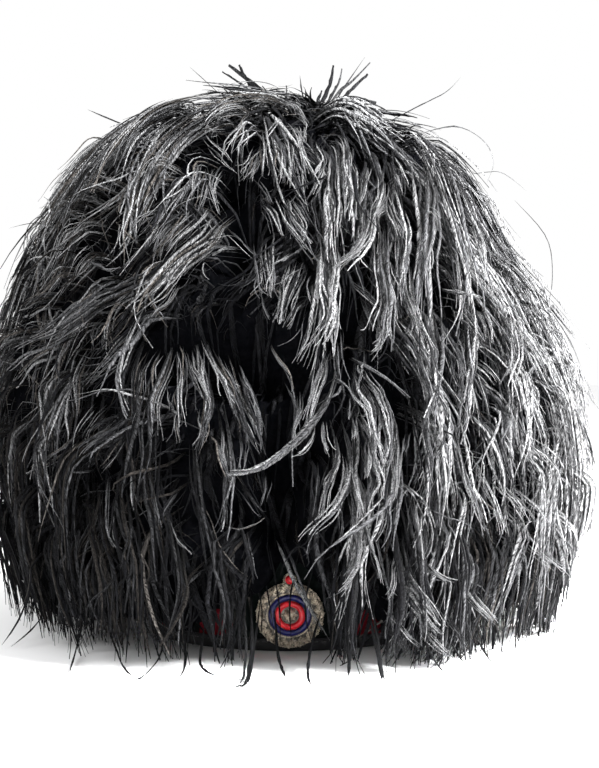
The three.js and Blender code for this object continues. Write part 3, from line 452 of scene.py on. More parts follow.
    ("below_k", 3, 1.5, 3.3, [(-9, 0.640, 0.88), (-7.5, 0.672, 0.94), (-6, 0.695, 1),
        (-5, 0.713, 1)]),
    ("below_m", 4, 2, 3.3, [(-20, 0.670, 0.88), (-19, 0.693, 0.94), (-18.5, 0.705, 1),
        (-18, 0.725, 1)]),
    ("below_n", 6, 3, 3.7, [(-15, 0.675, 0.88), (-14.5, 0.698, 0.94), (-14, 0.713, 1),
        (-15.5, 0.733, 1)]),
    ("below_p", 5, 2.5, 3.2, [(-13, 0.710, 0.88), (-11.5, 0.723, 0.94), (-10.5, 0.743, 1),
        (-9.5, 0.760, 1)]),
    ("below_q", 3, 1.5, 3, [(-11.5, 0.690, 0.88), (-11, 0.715, 0.94), (-10.5, 0.738, 1),
        (-10, 0.750, 1)]),
    ("below_r", 3, 1.5, 3, [(-8.5, 0.705, 0.88), (-7.5, 0.723, 0.94), (-7.5, 0.748, 1),
        (-7.5, 0.755, 1)]),
    ("below_s", 3, 1.5, 3.6, [(-3.5, 0.598, 0.88), (-2, 0.623, 0.94), (0, 0.645, 1),
        (0.5, 0.667, 1)]),
    ("below_t", 4, 2, 3.3, [(1.5, 0.657, 0.88), (1.5, 0.682, 0.94), (0.5, 0.708, 1),
        (0.5, 0.733, 1)]),
    ("low_rope", 5, 2, 2.7, [(-26.5, 0.738, 0.96), (-26, 0.770, 0.98), (-25.5, 0.792, 1.01),
        (-25.5, 0.805, 1.01)]),
    ("low_rope_b", 4, 2, 2.8, [(-24.5, 0.730, 0.96), (-24, 0.755, 0.98), (-23, 0.785, 1.01),
        (-22.5, 0.802, 1.01)]),
    ("low_bow", 3, 1.5, 2.9, [(-31, 0.763, 0.96), (-31, 0.800, 0.98), (-30.5, 0.835, 1.01),
        (-28.5, 0.855, 1.01)]),
    ("low_wave", 3, 2, 2.2, [(-28.5, 0.760, 0.96), (-27.5, 0.805, 0.98), (-26.5, 0.833, 1),
        (-27.5, 0.863, 1.01), (-26.5, 0.888, 1.01)]),
    ("low_pair", 3, 2, 2.5, [(-23, 0.765, 0.96), (-22, 0.795, 0.98), (-21, 0.812, 1.01),
        (-20.5, 0.825, 1.01)]),
    ("low_brown", 4, 2.5, 2, [(-32.5, 0.780, 0.96), (-34, 0.823, 0.98), (-35.5, 0.848, 1.01),
        (-37.5, 0.870, 1.01)]),
    ("low_hook", 3, 1.5, 2, [(-28.5, 0.875, 0.96), (-31, 0.895, 0.98), (-33.5, 0.915, 1.01),
        (-35, 0.938, 1.01)]),
    ("low_cross", 2, 1.5, 2.4, [(-17.5, 0.772, 0.96), (-19, 0.787, 0.98), (-20, 0.802, 1.01),
        (-20, 0.810, 1.01)]),
    ("low_long", 3, 1.5, 2.6, [(-20.5, 0.805, 0.96), (-18.5, 0.835, 0.98), (-16.5, 0.848, 1.01),
        (-15, 0.853, 1.01)]),
    ("low_stub", 4, 2, 3.4, [(-27.5, 0.705, 0.96), (-29, 0.728, 0.98), (-30.5, 0.748, 1.01),
        (-32, 0.760, 1.01)]),
    ("low_sweep", 5, 2.5, 3.2, [(-37.5, 0.708, 0.96), (-39.5, 0.728, 0.98), (-42, 0.743, 1.01),
        (-50, 0.770, 1.01)]),
    ("low_arc", 2, 1.5, 2.6, [(-34.5, 0.758, 0.96), (-36, 0.760, 0.98), (-38, 0.763, 1.01),
        (-40, 0.763, 1.01)]),
    ("base_a", 3, 1.5, 4.4, [(12, 0.633, 0.95), (11.5, 0.640, 0.99), (11.5, 0.647, 1.01)]),
    ("base_b", 5, 2, 4, [(12.5, 0.638, 0.95), (13, 0.650, 0.97), (14.5, 0.665, 0.99),
        (15, 0.677, 1), (16, 0.695, 1.01), (16, 0.710, 1.01)]),
    ("base_c", 5, 2.5, 3.5, [(10.5, 0.645, 0.95), (11, 0.665, 0.97), (12.5, 0.682, 0.99),
        (13, 0.700, 1.01), (13.5, 0.723, 1.01)]),
    ("base_d", 4, 1.5, 4.2, [(11, 0.682, 0.95), (12, 0.700, 0.97), (13, 0.715, 0.99),
        (14, 0.730, 1.01), (15, 0.748, 1.01)]),
    ("base_e", 3, 1.5, 4.2, [(10.5, 0.695, 0.95), (10.5, 0.708, 0.99), (10, 0.720, 1.01)]),
    ("base_f", 3, 1.5, 3.2, [(10, 0.672, 0.95), (9.5, 0.688, 0.99), (9.5, 0.698, 1.01)]),
    ("base_g", 4, 1.5, 4.6, [(12.5, 0.730, 0.95), (12.5, 0.748, 0.99), (12, 0.765, 1.01)]),
    ("base_h", 6, 2.5, 4.2, [(17.5, 0.715, 0.95), (17.5, 0.730, 0.97), (17, 0.750, 0.99),
        (16.5, 0.770, 1.01), (16, 0.785, 1.01)]),
    ("base_i", 3, 1.5, 4, [(14, 0.740, 0.95), (14, 0.758, 0.98), (14, 0.772, 1.01),
        (13, 0.785, 1.01)]),
    ("base_j", 4, 1.5, 3.8, [(10.5, 0.760, 0.95), (10.5, 0.780, 0.98), (11, 0.800, 1.01),
        (11.5, 0.818, 1.01)]),
    ("base_k", 4, 2, 3.8, [(7, 0.755, 0.95), (6, 0.775, 0.98), (5.5, 0.792, 1.01),
        (5, 0.815, 1.01)]),
    ("base_m", 4, 1.5, 3.6, [(13, 0.760, 0.95), (12.5, 0.780, 0.99), (12, 0.797, 1.01)]),
    ("base_n", 3, 1.5, 3.2, [(19.5, 0.710, 0.95), (18.5, 0.730, 0.99), (18, 0.743, 1.01)]),
    ("base_p", 3, 1.5, 3.8, [(21.5, 0.750, 0.95), (20.5, 0.763, 0.99), (19.5, 0.772, 1.01)]),
    ("foot_a", 4, 2, 3.6, [(11, 0.805, 0.97), (12, 0.823, 0.99), (13, 0.848, 1.01),
        (14, 0.870, 1.02), (14.5, 0.888, 1.02)]),
    ("foot_b", 6, 2, 3.8, [(10.5, 0.787, 0.97), (10.5, 0.815, 0.98), (11, 0.840, 1),
        (10.5, 0.863, 1.01), (9, 0.883, 1.02), (7.5, 0.895, 1.02)]),
    ("foot_c", 2, 1, 3.4, [(10.5, 0.878, 0.97), (10.5, 0.905, 0.99), (10, 0.927, 1.02),
        (9.5, 0.945, 1.02)]),
    ("foot_d", 5, 2, 3.1, [(11, 0.880, 0.97), (12.5, 0.900, 0.99), (13.5, 0.922, 1.01),
        (14, 0.948, 1.02), (15, 0.968, 1.02)]),
    ("foot_e", 5, 2, 4, [(17.5, 0.883, 0.97), (19.5, 0.902, 0.99), (21.5, 0.922, 1.01),
        (23.5, 0.938, 1.02), (25.5, 0.953, 1.02)]),
    ("foot_f", 2, 1, 3.8, [(18.5, 0.843, 0.97), (19, 0.873, 0.99), (21, 0.897, 1.01),
        (23.5, 0.917, 1.02), (25.5, 0.940, 1.02)]),
    ("foot_g", 3, 1.5, 3.2, [(15.5, 0.915, 0.97), (17.5, 0.932, 0.99), (20, 0.953, 1.02),
        (22, 0.965, 1.02)]),
    ("foot_h", 3, 1.5, 2.8, [(16, 0.938, 0.97), (18, 0.953, 0.99), (19, 0.965, 1.02),
        (19.5, 0.973, 1.02)]),
    ("foot_j", 4, 2, 3.2, [(21.5, 0.938, 0.97), (24, 0.955, 0.99), (26.5, 0.973, 1.02),
        (28, 0.978, 1.02)]),
    ("foot_k", 3, 1.5, 4, [(22.5, 0.863, 0.97), (24, 0.875, 0.99), (26, 0.885, 1.02),
        (28, 0.890, 1.02)]),
    ("foot_m", 3, 1.5, 3.8, [(30.5, 0.890, 0.97), (32, 0.912, 0.99), (34.5, 0.930, 1.02),
        (37, 0.945, 1.02)]),
    ("foot_n", 3, 1.5, 3, [(26.5, 0.917, 0.97), (28, 0.935, 0.99), (30, 0.955, 1.02),
        (32, 0.973, 1.02)]),
    ("foot_p", 4, 2, 3.7, [(18, 0.855, 0.97), (17, 0.870, 0.99), (16.5, 0.893, 1.02),
        (15.5, 0.907, 1.02)]),
    ("foot_q", 3, 1.5, 3.3, [(22, 0.785, 0.97), (21, 0.807, 0.99), (20.5, 0.828, 1.02),
        (19, 0.850, 1.02)]),
    ("foot_r", 4, 2, 3.4, [(25, 0.787, 0.97), (25.5, 0.820, 0.99), (26, 0.835, 1.02),
        (26, 0.848, 1.02)]),
    ("foot_s", 4, 2, 2.9, [(23.5, 0.820, 0.97), (23.5, 0.843, 0.99), (22, 0.860, 1.02),
        (20, 0.878, 1.02)]),
    ("rim_a", 5, 2, 4.6, [(-11.5, 0.253, 0.97), (-15, 0.258, 0.99), (-19, 0.273, 1.02),
        (-20.5, 0.292, 1.03), (-21.5, 0.312, 1.03)]),
    ("rim_b", 4, 2, 4.2, [(-12.5, 0.268, 0.97), (-15, 0.275, 1), (-17.5, 0.288, 1.03),
        (-19, 0.305, 1.03)]),
    ("rim_c", 4, 1.5, 4.6, [(-12.5, 0.268, 0.97), (-9, 0.263, 1), (-6.5, 0.255, 1.03),
        (-3, 0.253, 1.03)]),
    ("rim_d", 5, 2, 4.6, [(-5.5, 0.255, 0.97), (-1.5, 0.260, 0.99), (1.5, 0.273, 1.02),
        (3, 0.292, 1.03), (4, 0.312, 1.03)]),
    ("rim_e", 4, 1.5, 4.2, [(1.5, 0.275, 0.97), (2.5, 0.290, 1), (3.5, 0.307, 1.03),
        (4.5, 0.320, 1.03)]),
]

# Single stray flues at the outline, on the table and over the badge: width, tone, points from the root
WISPS = [
    (0.9, 1, [(-41, 0, 319), (-53, 0, 330), (-61, 0, 337)]),
    (4.4, 3, [(-11, -10, 315), (-25, -5, 328), (-37, 0, 338)]),
    (2.6, 2, [(-15, -10, 316), (-24, -5, 325), (-31, 0, 338)]),
    (2.4, 3, [(-18, -8, 316), (-31, -4, 327), (-41, 0, 334)]),
    (1.6, 1, [(9, -5, 314), (7, -5, 322), (6, -5, 331)]),
    (3.0, 1, [(14, -30, 298), (20, -20, 314), (24, -14, 324), (26, -10, 336)]),
    (2.8, 2, [(16, -30, 298), (24, -20, 315), (29, -14, 325), (31, -10, 334)]),
    (3.0, 2, [(18, -30, 298), (27, -20, 316), (37, -14, 326), (48, -10, 338)]),
    (2.6, 1, [(21, -28, 298), (29, -18, 312), (37, -12, 321), (47, -8, 331)]),
    (2.4, 2, [(23, -28, 298), (33, -18, 311), (42, -12, 315), (52, -8, 314)]),
    (2.6, 1, [(12, -32, 298), (16, -22, 311), (19, -14, 320)]),
    (1.4, 1, [(20, -30, 300), (31, -20, 319), (45, -10, 341)]),
    (1.6, 3, [(17, -28, 300), (26, -18, 318), (31, -8, 329)]),
    (1.2, 1, [(27, -20, 315), (41, -15, 316), (56, -10, 310), (69, -5, 302)]),
    (1.0, 2, [(59, -10, 302), (79, -5, 313), (95, 0, 322), (104, 0, 331)]),
    (1.1, 3, [(78, -10, 295), (101, 0, 301), (118, 0, 292), (124, 0, 279), (120, 0, 267)]),
    (1.1, 2, [(137, 0, 256), (156, 0, 234), (160, 0, 212), (157, 0, 192), (148, 0, 178)]),
    (1.0, 3, [(110, 0, 272), (128, 0, 273), (144, 0, 262)]),
    (1.2, 3, [(156, 0, 183), (170, 0, 164), (177, 0, 139)]),
    (1.4, 1, [(160, 0, 33), (176, 0, 39), (187, 0, 49)]),
    (1.4, 2, [(162, 0, 24), (177, 0, 29), (187, 0, 30)]),
    (1.8, 2, [(-96, 0, 300), (-111, 0, 306), (-123, 0, 311)]),
    (1.0, 2, [(-142, 0, 250), (-157, 0, 243), (-162, 0, 229), (-160, 0, 216)]),
    (0.9, 1, [(-137, 0, 240), (-155, 0, 242), (-171, 0, 239)]),
    (0.9, 1, [(-146, 0, 195), (-163, 0, 194), (-179, 0, 192)]),
    (2.2, 1, [(-149, -40, 30), (-153, -70, 12), (-158, -96, 2)]),
    (2.0, 1, [(-132, -60, 26), (-142, -80, 10), (-152, -101, 2)]),
    (1.8, 2, [(41, -168, 38), (44, -176, 16), (46, -186, 2), (49, -214, 2)]),
    (1.3, 1, [(38, -168, 40), (42, -178, 19), (45, -186, 2), (44, -205, 2)]),
    (1.8, 1, [(-20, -160, 40), (-19, -176, 17), (-21, -188, 2), (-22, -204, 2), (-27, -214, 2)]),
    (1.5, 2, [(-24, -160, 40), (-22, -175, 16), (-23, -186, 2), (-24, -200, 2), (-23, -213, 2)]),
    (1.2, 1, [(-15, -158, 36), (-18, -176, 14), (-20, -190, 2), (-24, -206, 2), (-31, -213, 2)]),
    (1.6, 1, [(-65, -150, 25), (-66, -158, 8), (-72, -181, 2), (-79, -196, 2)]),
    (1.6, 1, [(-55, -155, 24), (-53, -162, 6), (-54, -186, 2), (-58, -205, 2)]),
    (1.4, 1, [(-43, -160, 26), (-45, -170, 8), (-42, -171, 2), (-33, -186, 2)]),
    (1.5, 1, [(-8, -150, 30), (-6, -168, 10), (-3, -176, 2), (-1, -205, 2)]),
    (1.5, 1, [(16, -155, 30), (10, -172, 12), (9, -191, 2), (13, -212, 2)]),
    (1.6, 1, [(28, -160, 31), (29, -175, 13), (29, -181, 2), (27, -212, 2)]),
    (1.3, 2, [(65, -160, 26), (71, -168, 10), (77, -181, 2), (79, -212, 2)]),
    (1.3, 1, [(77, -155, 23), (87, -160, 6), (93, -181, 2), (101, -201, 2)]),
    (1.2, 1, [(94, -140, 19), (104, -145, 2), (110, -186, 2), (115, -210, 2)]),
    (2.0, 1, [(-111, -110, 23), (-114, -115, 5), (-111, -161, 2), (-108, -186, 2)]),
    (1.6, 1, [(-99, -120, 22), (-91, -130, 4), (-83, -166, 2), (-74, -191, 2)]),
    (1.0, 1, [(-17, -150, 66), (-12, -135, 38), (-8, -126, 10)]),
    (0.9, 1, [(-11, -150, 63), (-6, -133, 32), (-5, -126, 7)]),
    (0.9, 1, [(5, -150, 62), (0, -133, 32), (1, -126, 6)]),
    (2.2, 4, [(-7, -155, 66), (5, -142, 38), (21, -136, 11)]),
    (1.6, 3, [(-3, -155, 66), (8, -142, 36), (17, -134, 15)]),
    (1.0, 1, [(-21, -145, 55), (-15, -132, 29), (-16, -126, 7)]),
    (1.1, 1, [(14, -150, 59), (8, -132, 29), (12, -126, 6)]),
]


def spline(points, count):
    """Points at even steps of the curve's own parameter, through all the given ones."""
    points = np.asarray(points, float)
    last = len(points) - 1
    at = np.linspace(0, last, count)
    i = np.minimum(at.astype(int), last - 1)
    w = (at - i)[:, None]
    p0, p1 = points[np.maximum(i - 1, 0)], points[i]
    p2, p3 = points[i + 1], points[np.minimum(i + 2, last)]
    v0, v1 = (p2 - p0) / 2, (p3 - p1) / 2
    return (2 * p1 - 2 * p2 + v0 + v1) * w**3 + (3 * p2 - 3 * p1 - 2 * v0 - v1) * w**2 + v0 * w + p1


class Profile:
    """Half width and height at each share of the way down a profile."""

    def __init__(self, table):
        line = spline(table, 600)
        steps = np.hypot(*np.diff(line, axis=0).T)
        along = np.concatenate([[0], np.cumsum(steps)])
        self.length = along[-1]
        self.share = along / along[-1]
        self.half, self.height = line.T

    def at(self, share):
        return np.interp(share, self.share, self.half), np.interp(share, self.share, self.height)


CROWN_LINE = Profile(CROWN)
FEATHER_LINE = Profile(OUTLINE)


def half_length(half):
    return half + LONGER_BY * np.minimum(1, half / HALF_HEAD)


def oval_points(half, height, azimuth):
    return np.stack([half * np.sin(azimuth), -half_length(half) * np.cos(azimuth), height], -1)


def between(azimuth, share, lift):
    """A point between the crown, where lift is 0, and the feathers' outline, where it is 1."""
    low_half, low_height = CROWN_LINE.at(share)
    high_half, high_height = FEATHER_LINE.at(share)
    half = low_half + (high_half - low_half) * lift
    height = low_height + (high_height - low_height) * lift
    return oval_points(half, height, azimuth)


def unit(vectors):
    return vectors / np.maximum(np.linalg.norm(vectors, axis=-1, keepdims=True), 1e-9)


def smooth(x, low, high):
    t = np.clip((x - low) / (high - low), 0, 1)
    return t * t * (3 - 2 * t)


def turned(azimuth):
    """The same angle, from minus half a turn to half a turn."""
    return (azimuth + math.pi) % (2 * math.pi) - math.pi


def lean_at(azimuth, share):
    lean = 0.16 * np.sin(5 * azimuth + 9 * share) + 0.12 * np.sin(11 * azimuth - 14 * share + 1.3)
    degrees = np.degrees(turned(azimuth))
    for at, down, wide, tall, angle in SWEEPS:
        across = (np.degrees(turned(np.radians(degrees - at)))) / wide
        lean = lean + math.radians(angle) * np.exp(-(across**2) - ((share - down) / tall) ** 2)
    return lean


def all_hollows():
    """The hollows at the front, with pits scattered over the rest, as columns."""
    rng = np.random.default_rng(PIT_SEED)
    pits = np.stack(
        [
            rng.uniform(62, 298, PIT_COUNT),
            rng.uniform(0.22, 0.88, PIT_COUNT),
            rng.uniform(1.8, 3.2, PIT_COUNT),
            rng.uniform(0.02, 0.04, PIT_COUNT),
            rng.uniform(0.3, 0.5, PIT_COUNT),
        ],
        -1,
    )
    return np.concatenate([HOLLOWS, pits]).T


HOLLOW_COLUMNS = all_hollows()


def hollow_at(azimuth, share):
    """How far the feathers fall back at each place, up to 1."""
    at, down, wide, tall, depth = HOLLOW_COLUMNS
    degrees = np.degrees(azimuth)[..., None] - at
    across = ((degrees + 180) % 360 - 180) / wide
    d = across**2 + ((share[..., None] - down) / tall) ** 2
    return np.max(depth * np.exp(-(d**2)), -1)


LOCK_STEPS = 28


def fullness_at(azimuth, share):
    """How full the feathers are: slimmer at the right shoulder, drawn in at the foot and fallen back in hollows."""
    right = np.maximum(np.sin(azimuth), 0)
    left = np.maximum(-np.sin(azimuth), 0)
    shoulder = right * (0.34 * np.exp(-(((share - 0.42) / 0.16) ** 2)) + 0.03 * smooth(share, 0.5, 0.65))
    shoulder = shoulder + 0.12 * right * np.exp(-(((share - 0.15) / 0.09) ** 2))
    top = (0.14 + 0.10 * (1 - smooth(share, 0.05, 0.2)) + 0.06 * right) * (1 - smooth(share, 0.15, 0.65))
    foot = (0.08 + 0.07 * left + 0.05 * right) * smooth(share, 0.75, 1.0)
    return (1 - shoulder - top - foot) * (1 - hollow_at(azimuth, share))


def ruffle_at(azimuth, share):
    """How unruly the locks are: most at the left of the front, at one side of the back and round the top."""
    degrees = np.degrees(turned(azimuth))
    left = 1.4 * np.exp(-(((degrees + 48) / 34) ** 2)) * (1 - smooth(share, 0.45, 0.62))
    back = 1.2 * np.exp(-(((np.abs(degrees) - 150) / 30) ** 2)) * (1 - smooth(share, 0.4, 0.6))
    return 1 + left + back + 0.8 * (1 - smooth(share, 0.02, 0.2))


def ring_locks(rng, share, spacing, length, level, wave, wander=0.19, spread=0.045, cut=True):
    """Axes of the locks of one ring: azimuth, share and lift along each."""
    half = FEATHER_LINE.at(share)[0]
    count = max(7, int(2 * math.pi * (half + LONGER_BY / 2) / spacing))
    azimuth = 2 * math.pi * (np.arange(count) + rng.uniform(-0.45, 0.45, count)) / count
    down = np.clip(share + rng.normal(0, 0.02, count), 0.001, 0.9)
    keep = (hollow_at(azimuth, down) < 0.2) | (not cut)
    azimuth, down = azimuth[keep], down[keep]
    count = len(azimuth)
    ruffle = ruffle_at(azimuth, down)
    reach = length * rng.uniform(0.72, 1.22, count) / ruffle**0.5
    hem = rng.uniform(0.98, 1.02, count) + 0.05 * np.clip(np.sin(azimuth), -0.2, 1)
    reach = np.minimum(reach, (hem - down) * FEATHER_LINE.length)
    height = rng.normal(level, spread, count)
    bend = wave * rng.uniform(0.3, 1.3, count) * ruffle
    turns = rng.uniform(0.4, 1.1, count)
    phase = rng.uniform(0, 2 * math.pi, count)
    own = rng.normal(0, wander, count) * ruffle
    flare = rng.normal(0.03, 0.03, count)
    root = 0.55 + 0.45 * (1 - smooth(down, 0.02, 0.16))
    rows = []
    step = reach / LOCK_STEPS
    for k in range(LOCK_STEPS + 1):
        t = k / LOCK_STEPS
        lift = height * (root + (1 - root) * smooth(t, 0, 0.45)) + flare * t * t
        rows.append(np.stack([azimuth, down, lift * fullness_at(azimuth, down)], -1))
        lean = lean_at(azimuth, down) + own + bend * np.sin(2 * math.pi * turns * t + phase)
        half = np.maximum(FEATHER_LINE.at(down)[0], 14)
        azimuth = azimuth + step * np.sin(lean) / half
        down = np.minimum(down + step * np.cos(lean) / FEATHER_LINE.length, 0.999)
    axes = np.stack(rows, 1)
    return cut_at_hollows(axes) if cut else axes


def cut_at_hollows(axes):
    """The locks, each ending where it would cross a hollow. Those that would be very short are left out."""
    inside = hollow_at(axes[..., 0], axes[..., 1]) > 0.2
    inside[:, -1] = True
    stop = np.argmax(inside, 1)
    axes, stop = axes[stop > 7], stop[stop > 7]
    where = np.linspace(0, 1, LOCK_STEPS + 1)[None, :] * stop[:, None]
    i = np.minimum(where.astype(int), LOCK_STEPS - 1)
    w = (where - i)[..., None]
    lock = np.arange(len(axes))[:, None]
    return axes[lock, i] * (1 - w) + axes[lock, i + 1] * w


def lock_frames(axes):
    """Points along each lock with the directions along it, across it and out from the crown."""
    azimuth, share, lift = axes[..., 0], axes[..., 1], axes[..., 2]
    points = between(azimuth, share, lift)
    out = unit(between(azimuth, share, lift + 0.1) - points)
    along = unit(np.gradient(points, axis=1))
    across = unit(np.cross(along, out))
    return points, across, unit(np.cross(across, along))


def flue_lines(rng, axes, flues, width, steps):
    """Centre lines of the flues of each lock, and the direction across them."""
    points, across, out = lock_frames(axes)
    locks = len(axes)
    lock = np.repeat(np.arange(locks), flues)
    count = len(lock)

    def each(low, high):
        return rng.uniform(low, high, count)[:, None]

    t = np.linspace(0, 1, steps + 1)[None, :]
    start = each(0, 0.3) * smooth(axes[:, 0, 1], 0.0, 0.12)[lock][:, None]
    stop = each(0.7, 1.0)
    stop = stop + (1 - stop) * 0.7 * smooth(axes[:, -1, 1], 0.90, 0.97)[lock][:, None]
    where = (start + (stop - start) * t) * (points.shape[1] - 1)
    i = np.minimum(where.astype(int), points.shape[1] - 2)
    w = (where - i)[..., None]

    def along_lock(values):
        return values[lock[:, None], i] * (1 - w) + values[lock[:, None], i + 1] * w

    centre = along_lock(points)
    side = unit(along_lock(across))
    up = unit(along_lock(out))
    u = each(-1, 1)
    loose = (each(0, 1) < 0.2) * each(0.4, 1.6)
    gather = 1 - 0.55 * smooth(t, 0.15, 0.95) + 1.2 * loose * t * t
    lock_width = (width * rng.uniform(0.75, 1.3, locks))[lock][:, None]
    length = np.linalg.norm(np.diff(points, axis=1), axis=-1).sum(1)
    calm = np.clip(length / 90, 0.2, 1)[lock][:, None]
    curl = calm * min(1, 0.3 + 0.1 * width) * each(0.5, 4.5)
    curl = curl * np.sin(2 * math.pi * each(0.4, 1.4) * t + each(0, 6.28))
    kink = calm * each(0.1, 0.8) * np.sin(2 * math.pi * each(1.0, 2.4) * t + each(0, 6.28))
    hook = calm * rng.normal(0, 0.55, count)[:, None] * width * t**3
    rise = each(0.3, 1.8) * np.sin(2 * math.pi * each(0.4, 1.3) * t + each(0, 6.28))
    sideways = lock_width * u * gather + curl * t + hook + kink
    outwards = rng.normal(0, 2.6, count)[:, None] - 0.3 * lock_width * u**2
    outwards = outwards + calm * (rise * t + 4.0 * loose * t * t)
    return centre + side * sideways[..., None] + up * outwards[..., None], side, lock


BOX_SPARE = np.array([18.0, 19.0, 16.0])


def kept_in_box(points):
    """The points eased back to a little outside the solids' box, and clear of the table."""
    low = np.array(SOLID_BOX[0]) / METRES - BOX_SPARE
    high = np.array(SOLID_BOX[1]) / METRES + BOX_SPARE
    low[2] = TABLE_CLEARANCE
    return np.clip(points, low, high)


def flue_mesh(rng, line, side, half_width, row, tip=0.86):
    """Narrow leaves folded along a raised keel. The chart holds the way along each leaf, its tone and place across."""
    count, points = line.shape[:2]
    line = kept_in_box(line)
    along = unit(np.gradient(line, axis=1))
    across = unit(side - along * np.sum(side * along, -1, keepdims=True))
    out = np.cross(across, along)
    t = np.linspace(0, 1, points)[None, :]
    twist = (rng.normal(0, 0.25, count)[:, None] + rng.normal(0, 0.4, count)[:, None] * t)[..., None]
    flat = across * np.cos(twist) + out * np.sin(twist)
    above = out * np.cos(twist) - across * np.sin(twist)
    width = half_width[:, None] * (0.2 + 0.8 * smooth(t, 0, 0.22)) * (1 - tip * smooth(t, 0.55, 1.0))
    left = line - flat * (width * rng.uniform(0.6, 1.35, (count, points)))[..., None]
    right = line + flat * (width * rng.uniform(0.6, 1.35, (count, points)))[..., None]
    keel = line + above * (0.7 * width)[..., None]
    vertices = kept_in_box(np.stack([left, keel, right], 2)).reshape(-1, 3)
    k = 3 * np.arange(points - 1)
    one = np.concatenate([np.stack([k, k + 1, k + 4, k + 3], -1), np.stack([k + 1, k + 2, k + 5, k + 4], -1)])
    faces = (one[None] + (np.arange(count) * 3 * points)[:, None, None]).reshape(-1, 4)
    pattern = rng.integers(0, 24, count)
    down = np.repeat(pattern, 3 * points) + np.tile(np.repeat(0.98 * t[0], 3), count)
    place = np.tile([0.03, 0.5, 0.97], points * count)
    chart = (np.repeat(row, 3 * points) + place) / len(TONES)
    return vertices, faces, np.stack([down, chart], -1)


def mesh_object(name, vertices, faces, uv=None, shade_smooth=False):
    """A mesh from arrays in millimetres. Faces all have the same number of corners."""
    faces = np.asarray(faces, np.int32)
    corners = faces.shape[1]
    mesh = bpy.data.meshes.new(name)
    mesh.vertices.add(len(vertices))
    mesh.vertices.foreach_set("co", (np.asarray(vertices, float) * METRES).astype(np.float32).ravel())
    mesh.loops.add(faces.size)
    mesh.loops.foreach_set("vertex_index", faces.ravel())
    mesh.polygons.add(len(faces))
    mesh.polygons.foreach_set("loop_start", np.arange(0, faces.size, corners, dtype=np.int32))
    mesh.polygons.foreach_set("use_smooth", np.full(len(faces), shade_smooth, bool))
    mesh.update(calc_edges=True)
    if uv is not None:
        layer = mesh.uv_layers.new(name="surface")
        layer.uv.foreach_set("vector", np.asarray(uv, np.float32)[faces.ravel()].ravel())
    mesh.validate()
    piece = bpy.data.objects.new(name, mesh)
    bpy.context.scene.collection.objects.link(piece)
    return piece


def swept_object(name, sections, ends_on_axis, uv=None, shade_smooth=True):
    """A closed surface through sections round the bonnet, each joined to the next and the last to the first."""
    around, count = sections.shape[:2]
    spans = np.arange(count - 1 if ends_on_axis else count)
    here = np.arange(around)[:, None] * count
    following = ((np.arange(around) + 1) % around)[:, None] * count
    after = (spans + 1) % count
    first = np.stack([here + spans, here + after, following + spans], -1).reshape(-1, 3)
    second = np.stack([here + after, following + after, following + spans], -1).reshape(-1, 3)
    faces = np.concatenate([first, second])
    vertices = sections.reshape(-1, 3)
    a, b, c = (vertices[faces[:, i]] for i in range(3))
    sound = np.linalg.norm(np.cross(b - a, c - a), axis=-1) > 1e-7
    volume = np.sum(a * np.cross(b, c))
    if volume < 0:
        faces = faces[:, ::-1]
    piece = mesh_object(name, vertices, faces[sound], uv, shade_smooth)
    edit = bmesh.new()
    edit.from_mesh(piece.data)
    bmesh.ops.remove_doubles(edit, verts=edit.verts, dist=1e-6)
    edit.to_mesh(piece.data)
    edit.free()
    return piece


def ring_sections(profile, around):
    """Sections of a ring round the head opening from a table of half widths and heights."""
    half, height = np.asarray(profile, float).T
    azimuth = 2 * math.pi * np.arange(around)[:, None] / around
    return oval_points(half + 0 * azimuth, height + 0 * azimuth, azimuth)


def on_band(across, up, out):
    """A point of the badge, measured flat, bent round the front of the band."""
    height = BADGE_MIDDLE + up
    half = BAND_FACE + BAND_FLARE * (height - BAND_FOOT) / (BAND_TOP - BAND_FOOT)
    azimuth = across / half
    face = oval_points(half, height, azimuth)
    normal = np.stack([np.sin(azimuth) / half, -np.cos(azimuth) / half_length(half), 0 * azimuth], -1)
    return face + unit(normal) * (GAP + RIM_STEP + out)[..., None]


def tube(points, radius, sides, closed=False):
    """Vertices and faces of a round wire along a line of points, with its ends closed."""
    along = unit(np.gradient(points, axis=0))
    if closed:
        along = unit(np.roll(points, -1, 0) - np.roll(points, 1, 0))
    spare = np.where(np.abs(along[:, 2:3]) < 0.9, [[0, 0, 1.0]], [[1.0, 0, 0]])
    across = unit(np.cross(along, spare))
    up = np.cross(across, along)
    angle = 2 * math.pi * np.arange(sides) / sides
    ring = across[:, None] * np.cos(angle)[None, :, None] + up[:, None] * np.sin(angle)[None, :, None]
    radius = np.broadcast_to(np.asarray(radius, float), (len(points),))
    vertices = (points[:, None] + ring * radius[:, None, None]).reshape(-1, 3)
    count = len(points)
    i = np.arange(count if closed else count - 1)[:, None] * sides
    j = ((np.arange(count if closed else count - 1) + 1) % count)[:, None] * sides
    k = np.arange(sides)[None, :]
    n = (k + 1) % sides
    faces = np.concatenate(
        [np.stack([i + k, i + n, j + k], -1).reshape(-1, 3), np.stack([i + n, j + n, j + k], -1).reshape(-1, 3)]
    )
    if not closed:
        fan = np.arange(1, sides - 1)
        foot = np.stack([0 * fan, fan + 1, fan], -1)
        head = np.stack([0 * fan, fan, fan + 1], -1) + (count - 1) * sides
        faces = np.concatenate([faces, foot, head])
    return vertices, faces


def joined(parts):
    """One list of vertices and faces from several."""
    vertices, faces, total = [], [], 0
    for points, corners in parts:
        vertices.append(points)
        faces.append(corners + total)
        total += len(points)
    return np.concatenate(vertices), np.concatenate(faces)


def finish_piece(piece, material, slot, *nodes):
    """The piece gets its material, rides on the bonnet and stands for these solids."""
    piece.data.materials.clear()
    piece.data.materials.append(material)
    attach(piece, "root")
    if nodes:
        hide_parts(*nodes)
    return piece


